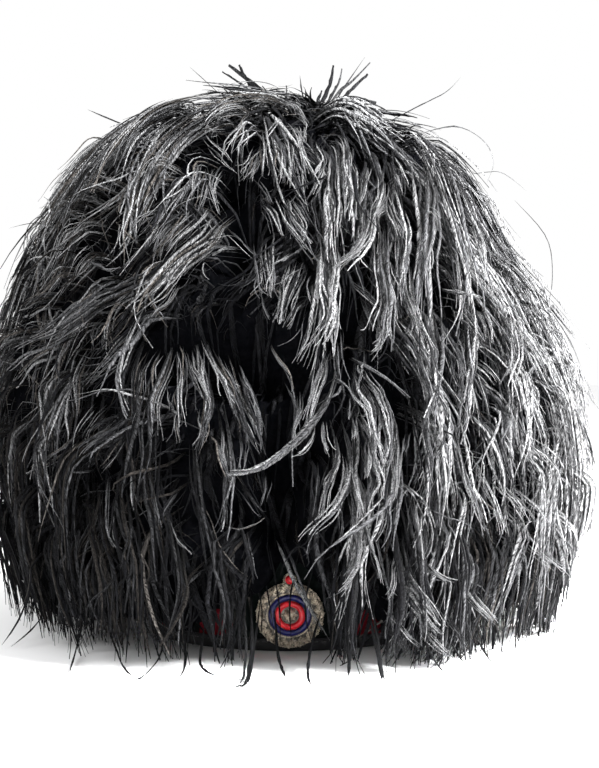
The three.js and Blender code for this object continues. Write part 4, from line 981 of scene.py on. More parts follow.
class NodeTree:
    """A new material's nodes, made one at a time."""

    def __init__(self, name):
        self.material = bpy.data.materials.new(name)
        self.material.use_nodes = True
        self.tree = self.material.node_tree
        self.shader = self.tree.nodes["Principled BSDF"]

    def node(self, kind, **settings):
        made = self.tree.nodes.new(kind)
        for key, value in settings.items():
            setattr(made, key, value)
        return made

    def link(self, source, target):
        self.tree.links.new(source, target)

    def set(self, **values):
        for key, value in values.items():
            self.shader.inputs[key.replace("_", " ")].default_value = value

    def math(self, operation, *values):
        made = self.node("ShaderNodeMath", operation=operation)
        for socket, value in zip(made.inputs, values):
            if isinstance(value, bpy.types.NodeSocket):
                self.link(value, socket)
            else:
                socket.default_value = value
        return made.outputs["Value"]

    def ramp(self, factor, stops, interpolation="LINEAR"):
        made = self.node("ShaderNodeValToRGB")
        made.color_ramp.interpolation = interpolation
        elements = made.color_ramp.elements
        while len(elements) < len(stops):
            elements.new(0.5)
        for element, (place, colour) in zip(elements, stops):
            element.position = place
            element.color = (*colour, 1)
        self.link(factor, made.inputs["Fac"])
        return made.outputs["Color"]

    def noise(self, scale, detail=4.0, vector=None):
        made = self.node("ShaderNodeTexNoise")
        made.inputs["Scale"].default_value = scale
        made.inputs["Detail"].default_value = detail
        if vector is not None:
            self.link(vector, made.inputs["Vector"])
        return made.outputs["Fac"]

    def bump(self, height, strength, distance):
        made = self.node("ShaderNodeBump")
        made.inputs["Strength"].default_value = strength
        made.inputs["Distance"].default_value = distance
        self.link(height, made.inputs["Height"])
        self.link(made.outputs["Normal"], self.shader.inputs["Normal"])


def feather_material(settings):
    """Barbs slant from the keel along each flue. The chart's rows run from deep black to silver and faded brown.
    Painted shade darkens each flue towards its root and its edges.
    """
    made = NodeTree("ostrich flue")
    uv = made.node("ShaderNodeUVMap", uv_map="surface").outputs["UV"]
    split = made.node("ShaderNodeSeparateXYZ")
    made.link(uv, split.inputs[0])
    along, chart = made.math("FRACT", split.outputs["X"]), split.outputs["Y"]
    from_keel = made.math("ABSOLUTE", made.math("SUBTRACT", made.math("FRACT", made.math("MULTIPLY", chart, len(TONES))), 0.5))
    stretch = made.node("ShaderNodeVectorMath", operation="MULTIPLY")
    stretch.inputs[1].default_value = (16, 44, 1)
    made.link(uv, stretch.inputs[0])
    speckle = made.noise(1.0, 2.0, stretch.outputs["Vector"])
    slant = made.node("ShaderNodeCombineXYZ")
    ticks = made.math("MULTIPLY", split.outputs["X"], settings.barbs)
    made.link(made.math("SUBTRACT", ticks, made.math("MULTIPLY", from_keel, 3.2)), slant.inputs["X"])
    made.link(made.math("MULTIPLY", chart, 9.0), slant.inputs["Y"])
    barb = made.noise(1.0, 2.0, slant.outputs["Vector"])
    barb = made.math("MULTIPLY", made.math("SUBTRACT", barb, 0.38), 4.2)
    barb = made.math("MINIMUM", made.math("MAXIMUM", barb, 0.0), 1.0)
    cord_shade_and_bump = made.math("SUBTRACT", 1.0, made.math("POWER", made.math("MULTIPLY", from_keel, 2.0), 2.0))
    grain = made.math("MAXIMUM", made.math("MULTIPLY_ADD", speckle, 1.4, 0.3), 0.05)
    lit = made.math("MULTIPLY", made.math("MULTIPLY_ADD", barb, 1.75, 0.14), grain)
    # Colour darker towards each flue's edges: painted shade that rounds the flue like a cord.
    lit = made.math("MULTIPLY", lit, made.math("MULTIPLY_ADD", cord_shade_and_bump, 0.85, 0.3))
    # Colour darker towards each flue's root: painted shade where the flues crowd at the crown.
    root = made.ramp(along, [(0.0, (0.06,) * 3), (0.3, (0.6,) * 3), (0.7, (1, 1, 1))])
    tone = made.ramp(chart, [(n / len(TONES), colour) for n, (colour, _) in enumerate(TONES)], "CONSTANT")
    rough = made.ramp(chart, [(n / len(TONES), (value,) * 3) for n, (_, value) in enumerate(TONES)], "CONSTANT")
    shade = made.node("ShaderNodeVectorMath", operation="SCALE")
    made.link(tone, shade.inputs[0])
    made.link(made.math("MULTIPLY", lit, root), shade.inputs["Scale"])
    made.link(shade.outputs["Vector"], made.shader.inputs["Base Color"])
    made.link(rough, made.shader.inputs["Roughness"])
    made.bump(made.math("MULTIPLY_ADD", cord_shade_and_bump, 0.4, barb), 0.9, 0.0007)
    made.set(Sheen_Weight=settings.sheen, Sheen_Roughness=0.4)
    made.shader.inputs["Specular IOR Level"].default_value = settings.gloss
    return made.material


def shadow_material():
    """The dull flues deep in the pile, near black without gloss: painted shadow in the gaps between the locks."""
    made = NodeTree("painted shadow pile")
    place = made.node("ShaderNodeTexCoord").outputs["Object"]
    down = made.noise(300.0, 4.0, place)
    made.link(made.ramp(down, [(0.3, (0.0005, 0.0006, 0.0008)), (0.75, (0.0018, 0.0018, 0.0022))]), made.shader.inputs["Base Color"])
    made.bump(down, 0.6, 0.001)
    made.set(Roughness=0.95)
    made.shader.inputs["Specular IOR Level"].default_value = 0.0
    return made.material


def weave(made, scale):
    """Height of a plain weave: two crossed sets of threads."""
    uv = made.node("ShaderNodeUVMap", uv_map="surface")
    heights = []
    for direction in ("X", "Y"):
        threads = made.node("ShaderNodeTexWave", wave_type="BANDS", bands_direction=direction)
        threads.inputs["Scale"].default_value = scale
        threads.inputs["Distortion"].default_value = 0.6
        made.link(uv.outputs["UV"], threads.inputs["Vector"])
        heights.append(threads.outputs["Fac"])
    both = made.node("ShaderNodeMath", operation="MAXIMUM")
    made.link(heights[0], both.inputs[0])
    made.link(heights[1], both.inputs[1])
    return uv.outputs["UV"], both.outputs["Value"]


def crown_material(settings):
    made = NodeTree("black cloth")
    _, threads = weave(made, 1.0)
    black = tuple(settings.cloth_colour)
    worn = made.noise(38.0)
    made.link(made.ramp(worn, [(0.35, black), (0.75, tuple(2.2 * c for c in black))]), made.shader.inputs["Base Color"])
    made.bump(threads, 0.35, 0.0004)
    made.set(Roughness=0.92, Sheen_Weight=0.15)
    return made.material


def band_material(settings):
    made = NodeTree("diced wool")
    uv, threads = weave(made, 9.0)
    dice = made.node("ShaderNodeTexChecker")
    dice.inputs["Scale"].default_value = 1.0
    dice.inputs["Color1"].default_value = (*settings.dice_red, 1)
    dice.inputs["Color2"].default_value = (*settings.dice_green, 1)
    made.link(uv, dice.inputs["Vector"])
    split = made.node("ShaderNodeSeparateXYZ")
    made.link(uv, split.inputs[0])
    # Above the lowest row of dice the band is plain dark green, painted shade under the feathers.
    plain = made.node("ShaderNodeMix", data_type="RGBA")
    plain.inputs["B"].default_value = (*settings.dice_green, 1)
    made.link(made.math("GREATER_THAN", split.outputs["Y"], 1.0), plain.inputs["Factor"])
    made.link(dice.outputs["Color"], plain.inputs["A"])
    shade = made.node("ShaderNodeMix", data_type="RGBA", blend_type="MULTIPLY")
    shade.inputs["Factor"].default_value = 0.55
    made.link(plain.outputs["Result"], shade.inputs["A"])
    made.link(made.ramp(threads, [(0.0, (0.35, 0.35, 0.35)), (1.0, (1, 1, 1))]), shade.inputs["B"])
    made.link(shade.outputs["Result"], made.shader.inputs["Base Color"])
    made.bump(threads, 0.5, 0.0005)
    made.set(Roughness=0.92)
    made.shader.inputs["Specular IOR Level"].default_value = 0.08
    return made.material


def leather_material(settings):
    made = NodeTree("black leather")
    place = made.node("ShaderNodeTexCoord").outputs["Object"]
    grain = made.node("ShaderNodeTexVoronoi", feature="DISTANCE_TO_EDGE")
    grain.inputs["Scale"].default_value = 900.0
    made.link(place, grain.inputs["Vector"])
    black = tuple(settings.leather_colour)
    rubbed = made.noise(70.0, 6.0, place)
    made.link(made.ramp(rubbed, [(0.4, black), (0.72, tuple(3 * c for c in black))]), made.shader.inputs["Base Color"])
    rough = made.ramp(rubbed, [(0.35, (0.5,) * 3), (0.7, (0.7,) * 3)])
    made.link(rough, made.shader.inputs["Roughness"])
    made.bump(grain.outputs["Distance"], 0.3, 0.0003)
    made.shader.inputs["Specular IOR Level"].default_value = 0.2
    return made.material


def thread_material():
    made = NodeTree("black thread")
    place = made.node("ShaderNodeTexCoord").outputs["Object"]
    twist = made.noise(1400.0, 2.0, place)
    made.link(made.ramp(twist, [(0.3, (0.012, 0.012, 0.012)), (0.7, (0.04, 0.038, 0.036))]), made.shader.inputs["Base Color"])
    made.set(Roughness=0.8)
    return made.material


def gilt_material(name, settings, strength):
    made = NodeTree(name)
    place = made.node("ShaderNodeTexCoord").outputs["Object"]
    tarnish = made.noise(420.0, 6.0, place)
    bright = tuple(strength * c for c in settings.gilt_colour)
    dull = tuple(strength * c for c in settings.tarnish_colour)
    made.link(made.ramp(tarnish, [(0.36, dull), (0.62, bright)]), made.shader.inputs["Base Color"])
    made.link(made.ramp(tarnish, [(0.35, (0.62,) * 3), (0.7, (0.3,) * 3)]), made.shader.inputs["Roughness"])
    made.set(Metallic=0.35)
    made.bump(made.noise(1800.0, 3.0, place), 0.25, 0.0002)
    return made.material


def enamel_material(name, colour):
    made = NodeTree(name)
    place = made.node("ShaderNodeTexCoord").outputs["Object"]
    cloud = made.noise(300.0, 4.0, place)
    colour = tuple(colour)
    made.link(made.ramp(cloud, [(0.35, tuple(0.7 * c for c in colour)), (0.65, colour)]), made.shader.inputs["Base Color"])
    made.link(made.ramp(cloud, [(0.3, (0.25,) * 3), (0.75, (0.4,) * 3)]), made.shader.inputs["Roughness"])
    made.set(Coat_Weight=0.08, Coat_Roughness=0.1)
    made.shader.inputs["Specular IOR Level"].default_value = 0.2
    return made.material


class FeatherSettings(bpy.types.PropertyGroup):
    """Sizes and gloss of the feathers."""

    flue_width: bpy.props.FloatProperty(
        name="Flue width", description="Full width of a flue with its barbs", default=0.0042, unit="LENGTH"
    )
    lock_width: bpy.props.FloatProperty(
        name="Lock width", description="Half width of a lock of flues", default=0.0068, unit="LENGTH"
    )
    flue_steps: bpy.props.IntProperty(name="Flue steps", description="Steps along a flue", default=17)
    barbs: bpy.props.IntProperty(name="Barbs", description="Fine barbs along each side of a flue", default=66)
    seed: bpy.props.IntProperty(name="Seed", description="Starts the scatter of the locks", default=11)
    sheen: bpy.props.FloatProperty(name="Sheen", description="Soft sheen", default=0.0, subtype="FACTOR")
    gloss: bpy.props.FloatProperty(name="Gloss", description="Strength of the gloss", default=0.045, subtype="FACTOR")


class ClothSettings(bpy.types.PropertyGroup):
    """Colours of the cloth, the band and the rim."""

    cloth_colour: bpy.props.FloatVectorProperty(
        name="Cloth colour", description="Black of the crown's cloth", default=(0.007, 0.007, 0.008), subtype="COLOR"
    )
    # The red and green are darker than the wool's own dyes: painted shade of the feathers over the band.
    dice_red: bpy.props.FloatVectorProperty(
        name="Red dice", description="Red of the band", default=(0.085, 0.002, 0.006), subtype="COLOR"
    )
    dice_green: bpy.props.FloatVectorProperty(
        name="Green dice", description="Dark green of the band", default=(0.0018, 0.0035, 0.003), subtype="COLOR"
    )
    leather_colour: bpy.props.FloatVectorProperty(
        name="Leather colour", description="Black of the rim", default=(0.004, 0.004, 0.0045), subtype="COLOR"
    )
    dice_round: bpy.props.IntProperty(name="Dice", description="Dice round the band", default=26)
    stitch_pitch: bpy.props.FloatProperty(
        name="Stitch pitch", description="From one stitch of the rim to the next", default=0.005, unit="LENGTH"
    )


class BadgeSettings(bpy.types.PropertyGroup):
    """Sizes and colours of the badge."""

    radius: bpy.props.FloatProperty(name="Radius", description="Outside of the wreath", default=0.018, unit="LENGTH")
    coils: bpy.props.IntProperty(name="Coils", description="Bullion coils in the wreath", default=38)
    wire: bpy.props.FloatProperty(name="Wire", description="Radius of the bullion wire", default=0.00050, unit="LENGTH")
    gilt_colour: bpy.props.FloatVectorProperty(
        name="Gilt", description="Bright parts of the wire", default=(0.60, 0.52, 0.41), subtype="COLOR"
    )
    tarnish_colour: bpy.props.FloatVectorProperty(
        name="Tarnish", description="Dull parts of the wire", default=(0.15, 0.12, 0.09), subtype="COLOR"
    )
    red_colour: bpy.props.FloatVectorProperty(
        name="Red enamel", description="Red ring and stone", default=(0.55, 0.010, 0.018), subtype="COLOR"
    )
    blue_colour: bpy.props.FloatVectorProperty(
        name="Blue enamel", description="Blue ring", default=(0.004, 0.005, 0.075), subtype="COLOR"
    )


class StageSettings(bpy.types.PropertyGroup):
    """The floor, the light and the camera."""

    floor_colour: bpy.props.FloatVectorProperty(
        name="Floor colour", description="Colour of the pale floor", default=(0.94, 0.94, 0.945), subtype="COLOR"
    )
    key_power: bpy.props.FloatProperty(name="Key light", description="Power of the main light", default=200.0, unit="POWER")
    side_power: bpy.props.FloatProperty(name="Side light", description="Power of the right light", default=100.0, unit="POWER")
    fill_power: bpy.props.FloatProperty(name="Fill light", description="Power of the left light", default=12.0, unit="POWER")
    sky_strength: bpy.props.FloatProperty(name="Surround", description="Strength of the white surround", default=1.0)
    camera_distance: bpy.props.FloatProperty(
        name="Camera distance", description="From the bonnet's middle", default=0.95, unit="LENGTH"
    )
    camera_height: bpy.props.FloatProperty(
        name="Camera height", description="Above the floor", default=0.155, unit="LENGTH"
    )
    lens: bpy.props.FloatProperty(name="Lens", description="Focal length", default=73.0, unit="CAMERA")


def browned(rng, x, light):
    """Rows of the tones nearest these values, some of them faded to brown at the left."""
    row = np.clip(np.rint(light), 0, 5).astype(int)
    brown = rng.uniform(0, 1, len(x)) < np.clip(0.04 - 0.30 * x, 0.0, 0.35)
    return np.where(brown, np.where(row > 2, 7, 6), row)


def front_tones(rng, line, lock, axes, tone):
    """A row of the tones for each flue of a front lock, near the lock's tone, which holds painted light and shade."""
    x = line[:, line.shape[1] // 2, 0] / 180
    return browned(rng, x, tone + rng.normal(0, 0.85, len(line)))


def main_tones(rng, line, lock, axes, tone):
    """A row of the tones for each flue, alike within a lock, brown at the left. Painted light makes flues silver on
    top, at the right and on raised locks; painted shade darkens the lower left and the foot.
    """
    count = len(line)
    x, y, z = (line[:, line.shape[1] // 2] / (180, 1, 1)).T
    own = rng.normal(0, 0.8, len(axes))[lock]
    lift = axes[:, LOCK_STEPS // 2, 2]
    high = np.clip((lift - lift.mean()) / 0.07, -2.5, 2)[lock]
    # Painted shade: darker at the lower left of the front.
    dark = smooth(z, 140, 75) * smooth(x, 0.25, -0.15)
    uneven = 1 - 0.45 * smooth(x, 0.4, 0.75) - 0.5 * dark
    # Raised locks and the right side come out lighter: painted light.
    light = tone + uneven * (own + rng.normal(0, 1.3, count) + 0.7 * high) + 0.35 * x - 2.6 * dark
    # Painted light on the right side and the top left.
    right = 0.45 * smooth(x, 0.5, 0.8) + 0.85 * smooth(x, 0.45, 0.8) * smooth(z, 95, 150)
    light = light + right * smooth(y, 110, 40) + 1.0 * smooth(z, 190, 260) * smooth(x, 0.1, -0.3)
    # Painted light and shade in patches at the front.
    for across, up, wide, tall, change in PAINTED_LIGHT_PLACES:
        light = light + change * np.exp(-(((x - across) / wide) ** 2) - ((z - up) / tall) ** 2) * smooth(y, 0, -40)
    # Painted shade, darker towards the foot.
    light = light - 1.0 * smooth(z, 85, 40) * smooth(x, -0.3, 0.2) * (1 - 0.7 * smooth(x, 0.35, 0.65))
    return browned(rng, x, light)


def clear_of_badge(line):
    """Which flues leave the badge and a red die at each side of it in view."""
    x, y, z = line[..., 0], line[..., 1], line[..., 2]
    low = z + 0.15 * (y + 104)
    badge = (low < 44) & (np.abs(x) < 19.5 - 0.3 * np.maximum(z - 30, 0))
    dice = (low < 22) & (np.minimum(np.abs(x + 44), np.abs(x - 42)) < 5)
    inside = (y < -60) & (badge | dice)
    return inside.sum(1) < 2


def dark_tones(rng, line, lock, axes, tone):
    """A row of the darker tones for each flue: painted shade for curls and skirt deep among the locks."""
    return rng.choice([0, 1, 2, 3, 6, 7], len(line), p=[0.34, 0.24, 0.16, 0.07, 0.14, 0.05])


def root_tones(rng, line, lock, axes, tone):
    """A row of the blacks for each flue: painted shade for the roots deep by the pile."""
    return rng.choice([0, 1, 2], len(line), p=[0.5, 0.35, 0.15])


def flue_piece(name, rng, groups, settings, tones=main_tones, tip=0.74):
    """One piece made of groups of locks: axes, flues a lock, lock width, flue width, steps and tone."""
    vertices, faces, charts, total = [], [], [], 0
    for axes, flues, width, part, steps, tone in groups:
        line, side, lock = flue_lines(rng, axes, flues, width, steps)
        seen = clear_of_badge(line)
        line, side, lock = line[seen], side[seen], lock[seen]
        length = np.linalg.norm(np.diff(line, axis=1), axis=-1).sum(1)
        half_width = part * settings.flue_width / METRES / 2 * rng.uniform(0.6, 1.3, len(line))
        half_width = half_width * np.clip(length / 60, 0.4, 1)
        row = tones(rng, line, lock, axes, tone)
        points, corners, chart = flue_mesh(rng, line, side, half_width, row, tip)
        vertices.append(points)
        faces.append(corners + total)
        charts.append(chart)
        total += len(points)
    return mesh_object(name, np.concatenate(vertices), np.concatenate(faces), np.concatenate(charts), True)


class BONNET_OT_feathers(bpy.types.Operator):
    """Make the four tiers of flues"""

    bl_idname = "bonnet.feathers"
    bl_label = "Feather tiers"

    def execute(self, context):
        settings = context.scene.bonnet_feathers
        material = feather_material(settings)
        width = settings.lock_width / METRES
        steps = settings.flue_steps
        for number, (name, node) in enumerate(REPLACED.items()):
            rng = np.random.default_rng(settings.seed + number)
            groups = []
            for piece, share, spacing, length, broad, thin in TIERS:
                if piece == name:
                    level = 0.90 + 0.10 * (1 - smooth(share, 0.0, 0.08))
                    locks = ring_locks(rng, share, spacing, length, level, 0.16, 0.22, 0.07)
                    stray = ring_locks(rng, share + 0.01, 1.2 * spacing, 0.8 * length, 0.96, 0.4, 0.42)
                    groups.append((locks, broad, width, 0.48, steps, 2.6))
                    groups.append((locks, thin, 1.1 * width, 0.33, steps - 6, 2.6))
                    groups.append((stray, 2, 3.0, 0.34, steps - 6, 2.6))
            piece = flue_piece(name, rng, groups, settings)
            finish_piece(piece, material, "feather", node)
        return {"FINISHED"}


def pile_lift(azimuth, share):
    """How high the pile stands: highest at the sides and the back, where it closes the outline."""
    behind = 1 - np.exp(-((np.degrees(turned(azimuth)) / 60) ** 4))
    left = np.maximum(-np.sin(azimuth), 0) ** 6
    return 0.7 + (0.09 * behind + 0.06 * left) * smooth(share, 0.3, 0.5)


class BONNET_OT_pile(bpy.types.Operator):
    """Make the dense pile at the roots of the flues; its near-black colour is painted shadow in the gaps"""

    bl_idname = "bonnet.pile"
    bl_label = "Pile"

    def execute(self, context):
        settings = context.scene.bonnet_feathers
        rng = np.random.default_rng(settings.seed + 40)
        around, down = 150, 44
        azimuth = 2 * math.pi * np.arange(around)[:, None] / around
        aside = np.abs(np.degrees(turned(azimuth)))
        front = np.exp(-((aside / 10) ** 2))
        red_dice = np.exp(-(((aside - 15) / 3.2) ** 2))
        last = 0.95 - 0.09 * front - 0.035 * red_dice + rng.uniform(-0.012, 0.012, (around, 1))
        share = np.linspace(0, 1, down)[None, :] * last
        rough = 0.05 * rng.uniform(-1, 1, (around, down))
        lift = (pile_lift(azimuth, share) + rough) * fullness_at(azimuth + 0 * share, share)
        lift = lift * (1 - 0.45 * front * smooth(share, 0.7, 0.9))
        lift[:, 0] = lift[0, 0]
        outer = between(azimuth + 0 * share, share, lift)
        inner = between(azimuth + 0 * share, share, lift * 0.75)
        sections = np.concatenate([outer, inner[:, ::-1]], 1)
        finish_piece(swept_object("feather_pile", sections, True), shadow_material(), "feather")

        groups = []
        for _, share, spacing, length, _, _ in TIERS:
            locks = ring_locks(rng, share + 0.02, 0.5 * spacing, length, 1.07, 0.2, cut=False)
            locks[..., 2] *= pile_lift(locks[..., 0], locks[..., 1])
            groups.append((locks, 2, 4.0, 0.6, 7, 0))
        roots = flue_piece("feather_roots", rng, groups, settings, root_tones)
        finish_piece(roots, bpy.data.materials["ostrich flue"], "feather")
        return {"FINISHED"}


class BONNET_OT_down(bpy.types.Operator):
    """Make the short curls between the locks, the fuzz at the outline and the dark skirt over the band"""

    bl_idname = "bonnet.down"
    bl_label = "Curls, fuzz and skirt"

    def execute(self, context):
        settings = context.scene.bonnet_feathers
        rng = np.random.default_rng(settings.seed + 80)
        curls, fuzz = [], []
        for share in np.arange(0.02, 0.92, 0.036):
            curls.append((ring_locks(rng, share, 12.0, 52.0, 0.80, 0.7, 0.5), 1, 3.0, 0.36, 8, 0))
        for share in np.arange(0.16, 0.9, 0.036):
            locks = ring_locks(rng, share, 8.0, 36.0, 0.92, 0.6, 0.45)
            fuzz.append((locks, 1, 3.0, 0.25, 7, 2.1))
        for level in (0.35, 0.48, 0.6, 0.72, 0.83, 0.9):
            skirt = ring_locks(rng, 0.77, 8.0, 120.0, level, 0.2, cut=False)
            curls.append((skirt, 2, 4.0, 0.5, 9, 0))
        material = bpy.data.materials["ostrich flue"]
        finish_piece(flue_piece("dark_curls", rng, curls, settings, dark_tones), material, "feather")
        finish_piece(flue_piece("outline_fuzz", rng, fuzz, settings), material, "feather")
        return {"FINISHED"}


class BONNET_OT_front_locks(bpy.types.Operator):
    """Make the long locks that cross the front"""

    bl_idname = "bonnet.front_locks"
    bl_label = "Front locks"

    def execute(self, context):
        settings = context.scene.bonnet_feathers
        rng = np.random.default_rng(settings.seed + 20)
        groups = []
        for _, flues, width, tone, points in FRONT_LOCKS:
            axis = spline(points, LOCK_STEPS + 1)
            axis[:, 0] = np.radians(axis[:, 0])
            axis[:, 2] *= 0.94
            groups.append((axis[None], flues, width, 0.44, settings.flue_steps, tone))
            groups.append((axis[None], flues // 2 + 1, 1.3 * width, 0.32, settings.flue_steps, tone - 0.3))
        piece = flue_piece("front_locks", rng, groups, settings, front_tones, 0.6)
        finish_piece(piece, bpy.data.materials["ostrich flue"], "feather")
        return {"FINISHED"}


class BONNET_OT_wisps(bpy.types.Operator):
    """Make the single stray flues"""

    bl_idname = "bonnet.wisps"
    bl_label = "Wisps"

    def execute(self, context):
        settings = context.scene.bonnet_feathers
        rng = np.random.default_rng(settings.seed + 60)
        line = np.stack([spline(points, settings.flue_steps + 1) for _, _, points in WISPS])
        half_width = np.array([width / 2 for width, _, _ in WISPS])
        row = np.array([tone for _, tone, _ in WISPS])
        view = unit(line * (1, 1, 0))
        side = unit(np.cross(np.gradient(line, axis=1), view))
        tip = np.where(half_width > 1.1, 0.35, 0.86)[:, None]
        piece = mesh_object("stray_wisps", *flue_mesh(rng, line, side, half_width, row, tip), True)
        finish_piece(piece, bpy.data.materials["ostrich flue"], "feather")
        return {"FINISHED"}


class BONNET_OT_crown_cloth(bpy.types.Operator):
    """Make the crown's cloth wall"""

    bl_idname = "bonnet.crown_cloth"
    bl_label = "Crown cloth"

    def execute(self, context):
        settings = context.scene.bonnet_cloth
        rng = np.random.default_rng(3)
        around, down, wall = 128, 52, 2.0
        share = np.linspace(0, 1, down)
        half, height = CROWN_LINE.at(share)
        run = unit(np.stack([np.gradient(half), np.gradient(height)], -1))
        run[0] = (1, 0)
        azimuth = 2 * math.pi * np.arange(around)[:, None] / around
        waves = sum(
            0.18 * np.sin(n * azimuth + p + 7 * q * share)
            for n, p, q in zip((3, 7, 11, 17), rng.uniform(0, 6.28, 4), rng.uniform(-1, 1, 4))
        )
        slack = waves * np.minimum(1, 6 * share * (1 - share))
        inner_half = np.maximum(half + run[:, 1] * wall + slack, 0)
        inner_half[:, 0] = 0
        inner_height = height - run[:, 0] * wall
        inner_height[-1] = height[-1]
        inner = oval_points(inner_half, inner_height + 0 * azimuth, azimuth)
        outer = oval_points(half + 0 * azimuth, height + 0 * azimuth, azimuth)
        sections = np.concatenate([outer, inner[:, ::-1]], 1)
        threads = np.concatenate([share, share[::-1]]) * CROWN_LINE.length / 10
        uv = np.stack(np.broadcast_arrays(azimuth * 9.5, threads[None, :]), -1).reshape(-1, 2)
        piece = swept_object("crown_cloth", sections, True, uv)
        finish_piece(piece, crown_material(settings), "black_cloth", "crown")
        return {"FINISHED"}


class BONNET_OT_band(bpy.types.Operator):
    """Make the diced wool band"""

    bl_idname = "bonnet.band"
    bl_label = "Diced band"

    def execute(self, context):
        settings = context.scene.bonnet_cloth
        around, wall, soft = 288, 2.0, 0.7
        inside = BAND_FACE - wall
        heights = np.linspace(BAND_FOOT + soft, BAND_TOP - soft, 26)
        flare = BAND_FLARE * (heights - BAND_FOOT) / (BAND_TOP - BAND_FOOT)
        outer = np.stack([BAND_FACE + flare, heights], -1)
        inner = np.stack([inside + flare, heights], -1)[::-1]
        top = [(BAND_FACE + 0.6, BAND_TOP - 0.1), (inside + 1.4, BAND_TOP - 0.1)]
        foot = [(inside + 0.4, BAND_FOOT + 0.1), (BAND_FACE - 0.4, BAND_FOOT + 0.1)]
        profile = np.concatenate([outer, top, inner, foot])
        sections = ring_sections(profile, around)
        azimuth = 2 * math.pi * np.arange(around)[:, None] / around
        die = 2 * math.pi / settings.dice_round
        column = np.where(azimuth > math.pi, azimuth - 2 * math.pi, azimuth) / die + 1.5
        row = (profile[:, 1] - BAND_FOOT) / ((BAND_TOP - BAND_FOOT) / 3)
        uv = np.stack(np.broadcast_arrays(column, row[None, :]), -1).reshape(-1, 2)
        piece = swept_object("head_band", sections, False, uv)
        finish_piece(piece, band_material(settings), "diced_wool", "diced_band")
        return {"FINISHED"}


class BONNET_OT_rim(bpy.types.Operator):
    """Make the leather rim and its row of stitches"""

    bl_idname = "bonnet.rim"
    bl_label = "Rim and stitches"

    def execute(self, context):
        settings = context.scene.bonnet_cloth
        profile = [
            (83.6, 0.0), (86.3, 0.0), (89.0, 0.0), (89.8, 0.3), (90.1, 1.1), (90.1, 3.6), (90.1, 6.2), (89.9, 6.8),
            (89.5, 7.0), (89.1, 6.8), (88.9, 6.2), (88.9, 2.0), (86.3, 2.0), (83.7, 2.0), (83.7, 6.2), (83.5, 6.8),
            (83.1, 7.0), (82.7, 6.8), (82.5, 6.2), (82.5, 3.6), (82.5, 1.1), (82.8, 0.3),
        ]
        piece = swept_object("rim_leather", ring_sections(profile, 240), False)
        finish_piece(piece, leather_material(settings), "black_leather", "rim_binding")

        pitch = settings.stitch_pitch / METRES
        count = int(2 * math.pi * 98 / pitch)
        along = np.linspace(-0.34, 0.34, 7)
        sunk = np.array([-0.25, 0.12, 0.22, 0.25, 0.22, 0.12, -0.25])
        parts = []
        for number in range(count):
            azimuth = 2 * math.pi * (number + along) / count
            parts.append(tube(oval_points(90.1 + sunk, np.full(7, 5.0), azimuth), 0.27, 6))
        stitches = mesh_object("rim_stitches", *joined(parts), shade_smooth=True)
        finish_piece(stitches, thread_material(), "black_leather")
        return {"FINISHED"}


def badge_turned(name, profile, sides, above=0.0, points=0, depth=0.0, ends_on_axis=False):
    """A badge piece turned about its own middle, from radii and rises. Points cut it into a star."""
    radius, rise = np.asarray(profile, float).T
    angle = 2 * math.pi * np.arange(sides)[:, None] / sides
    if points:
        saw = np.abs((angle * points / (2 * math.pi)) % 1 - 0.5) * 2
        radius = radius * (1 - depth * (1 - saw))
    across = radius * np.sin(angle)
    up = above + radius * np.cos(angle)
    sections = on_band(across, up, rise + 0 * angle)
    return swept_object(name, sections, ends_on_axis)


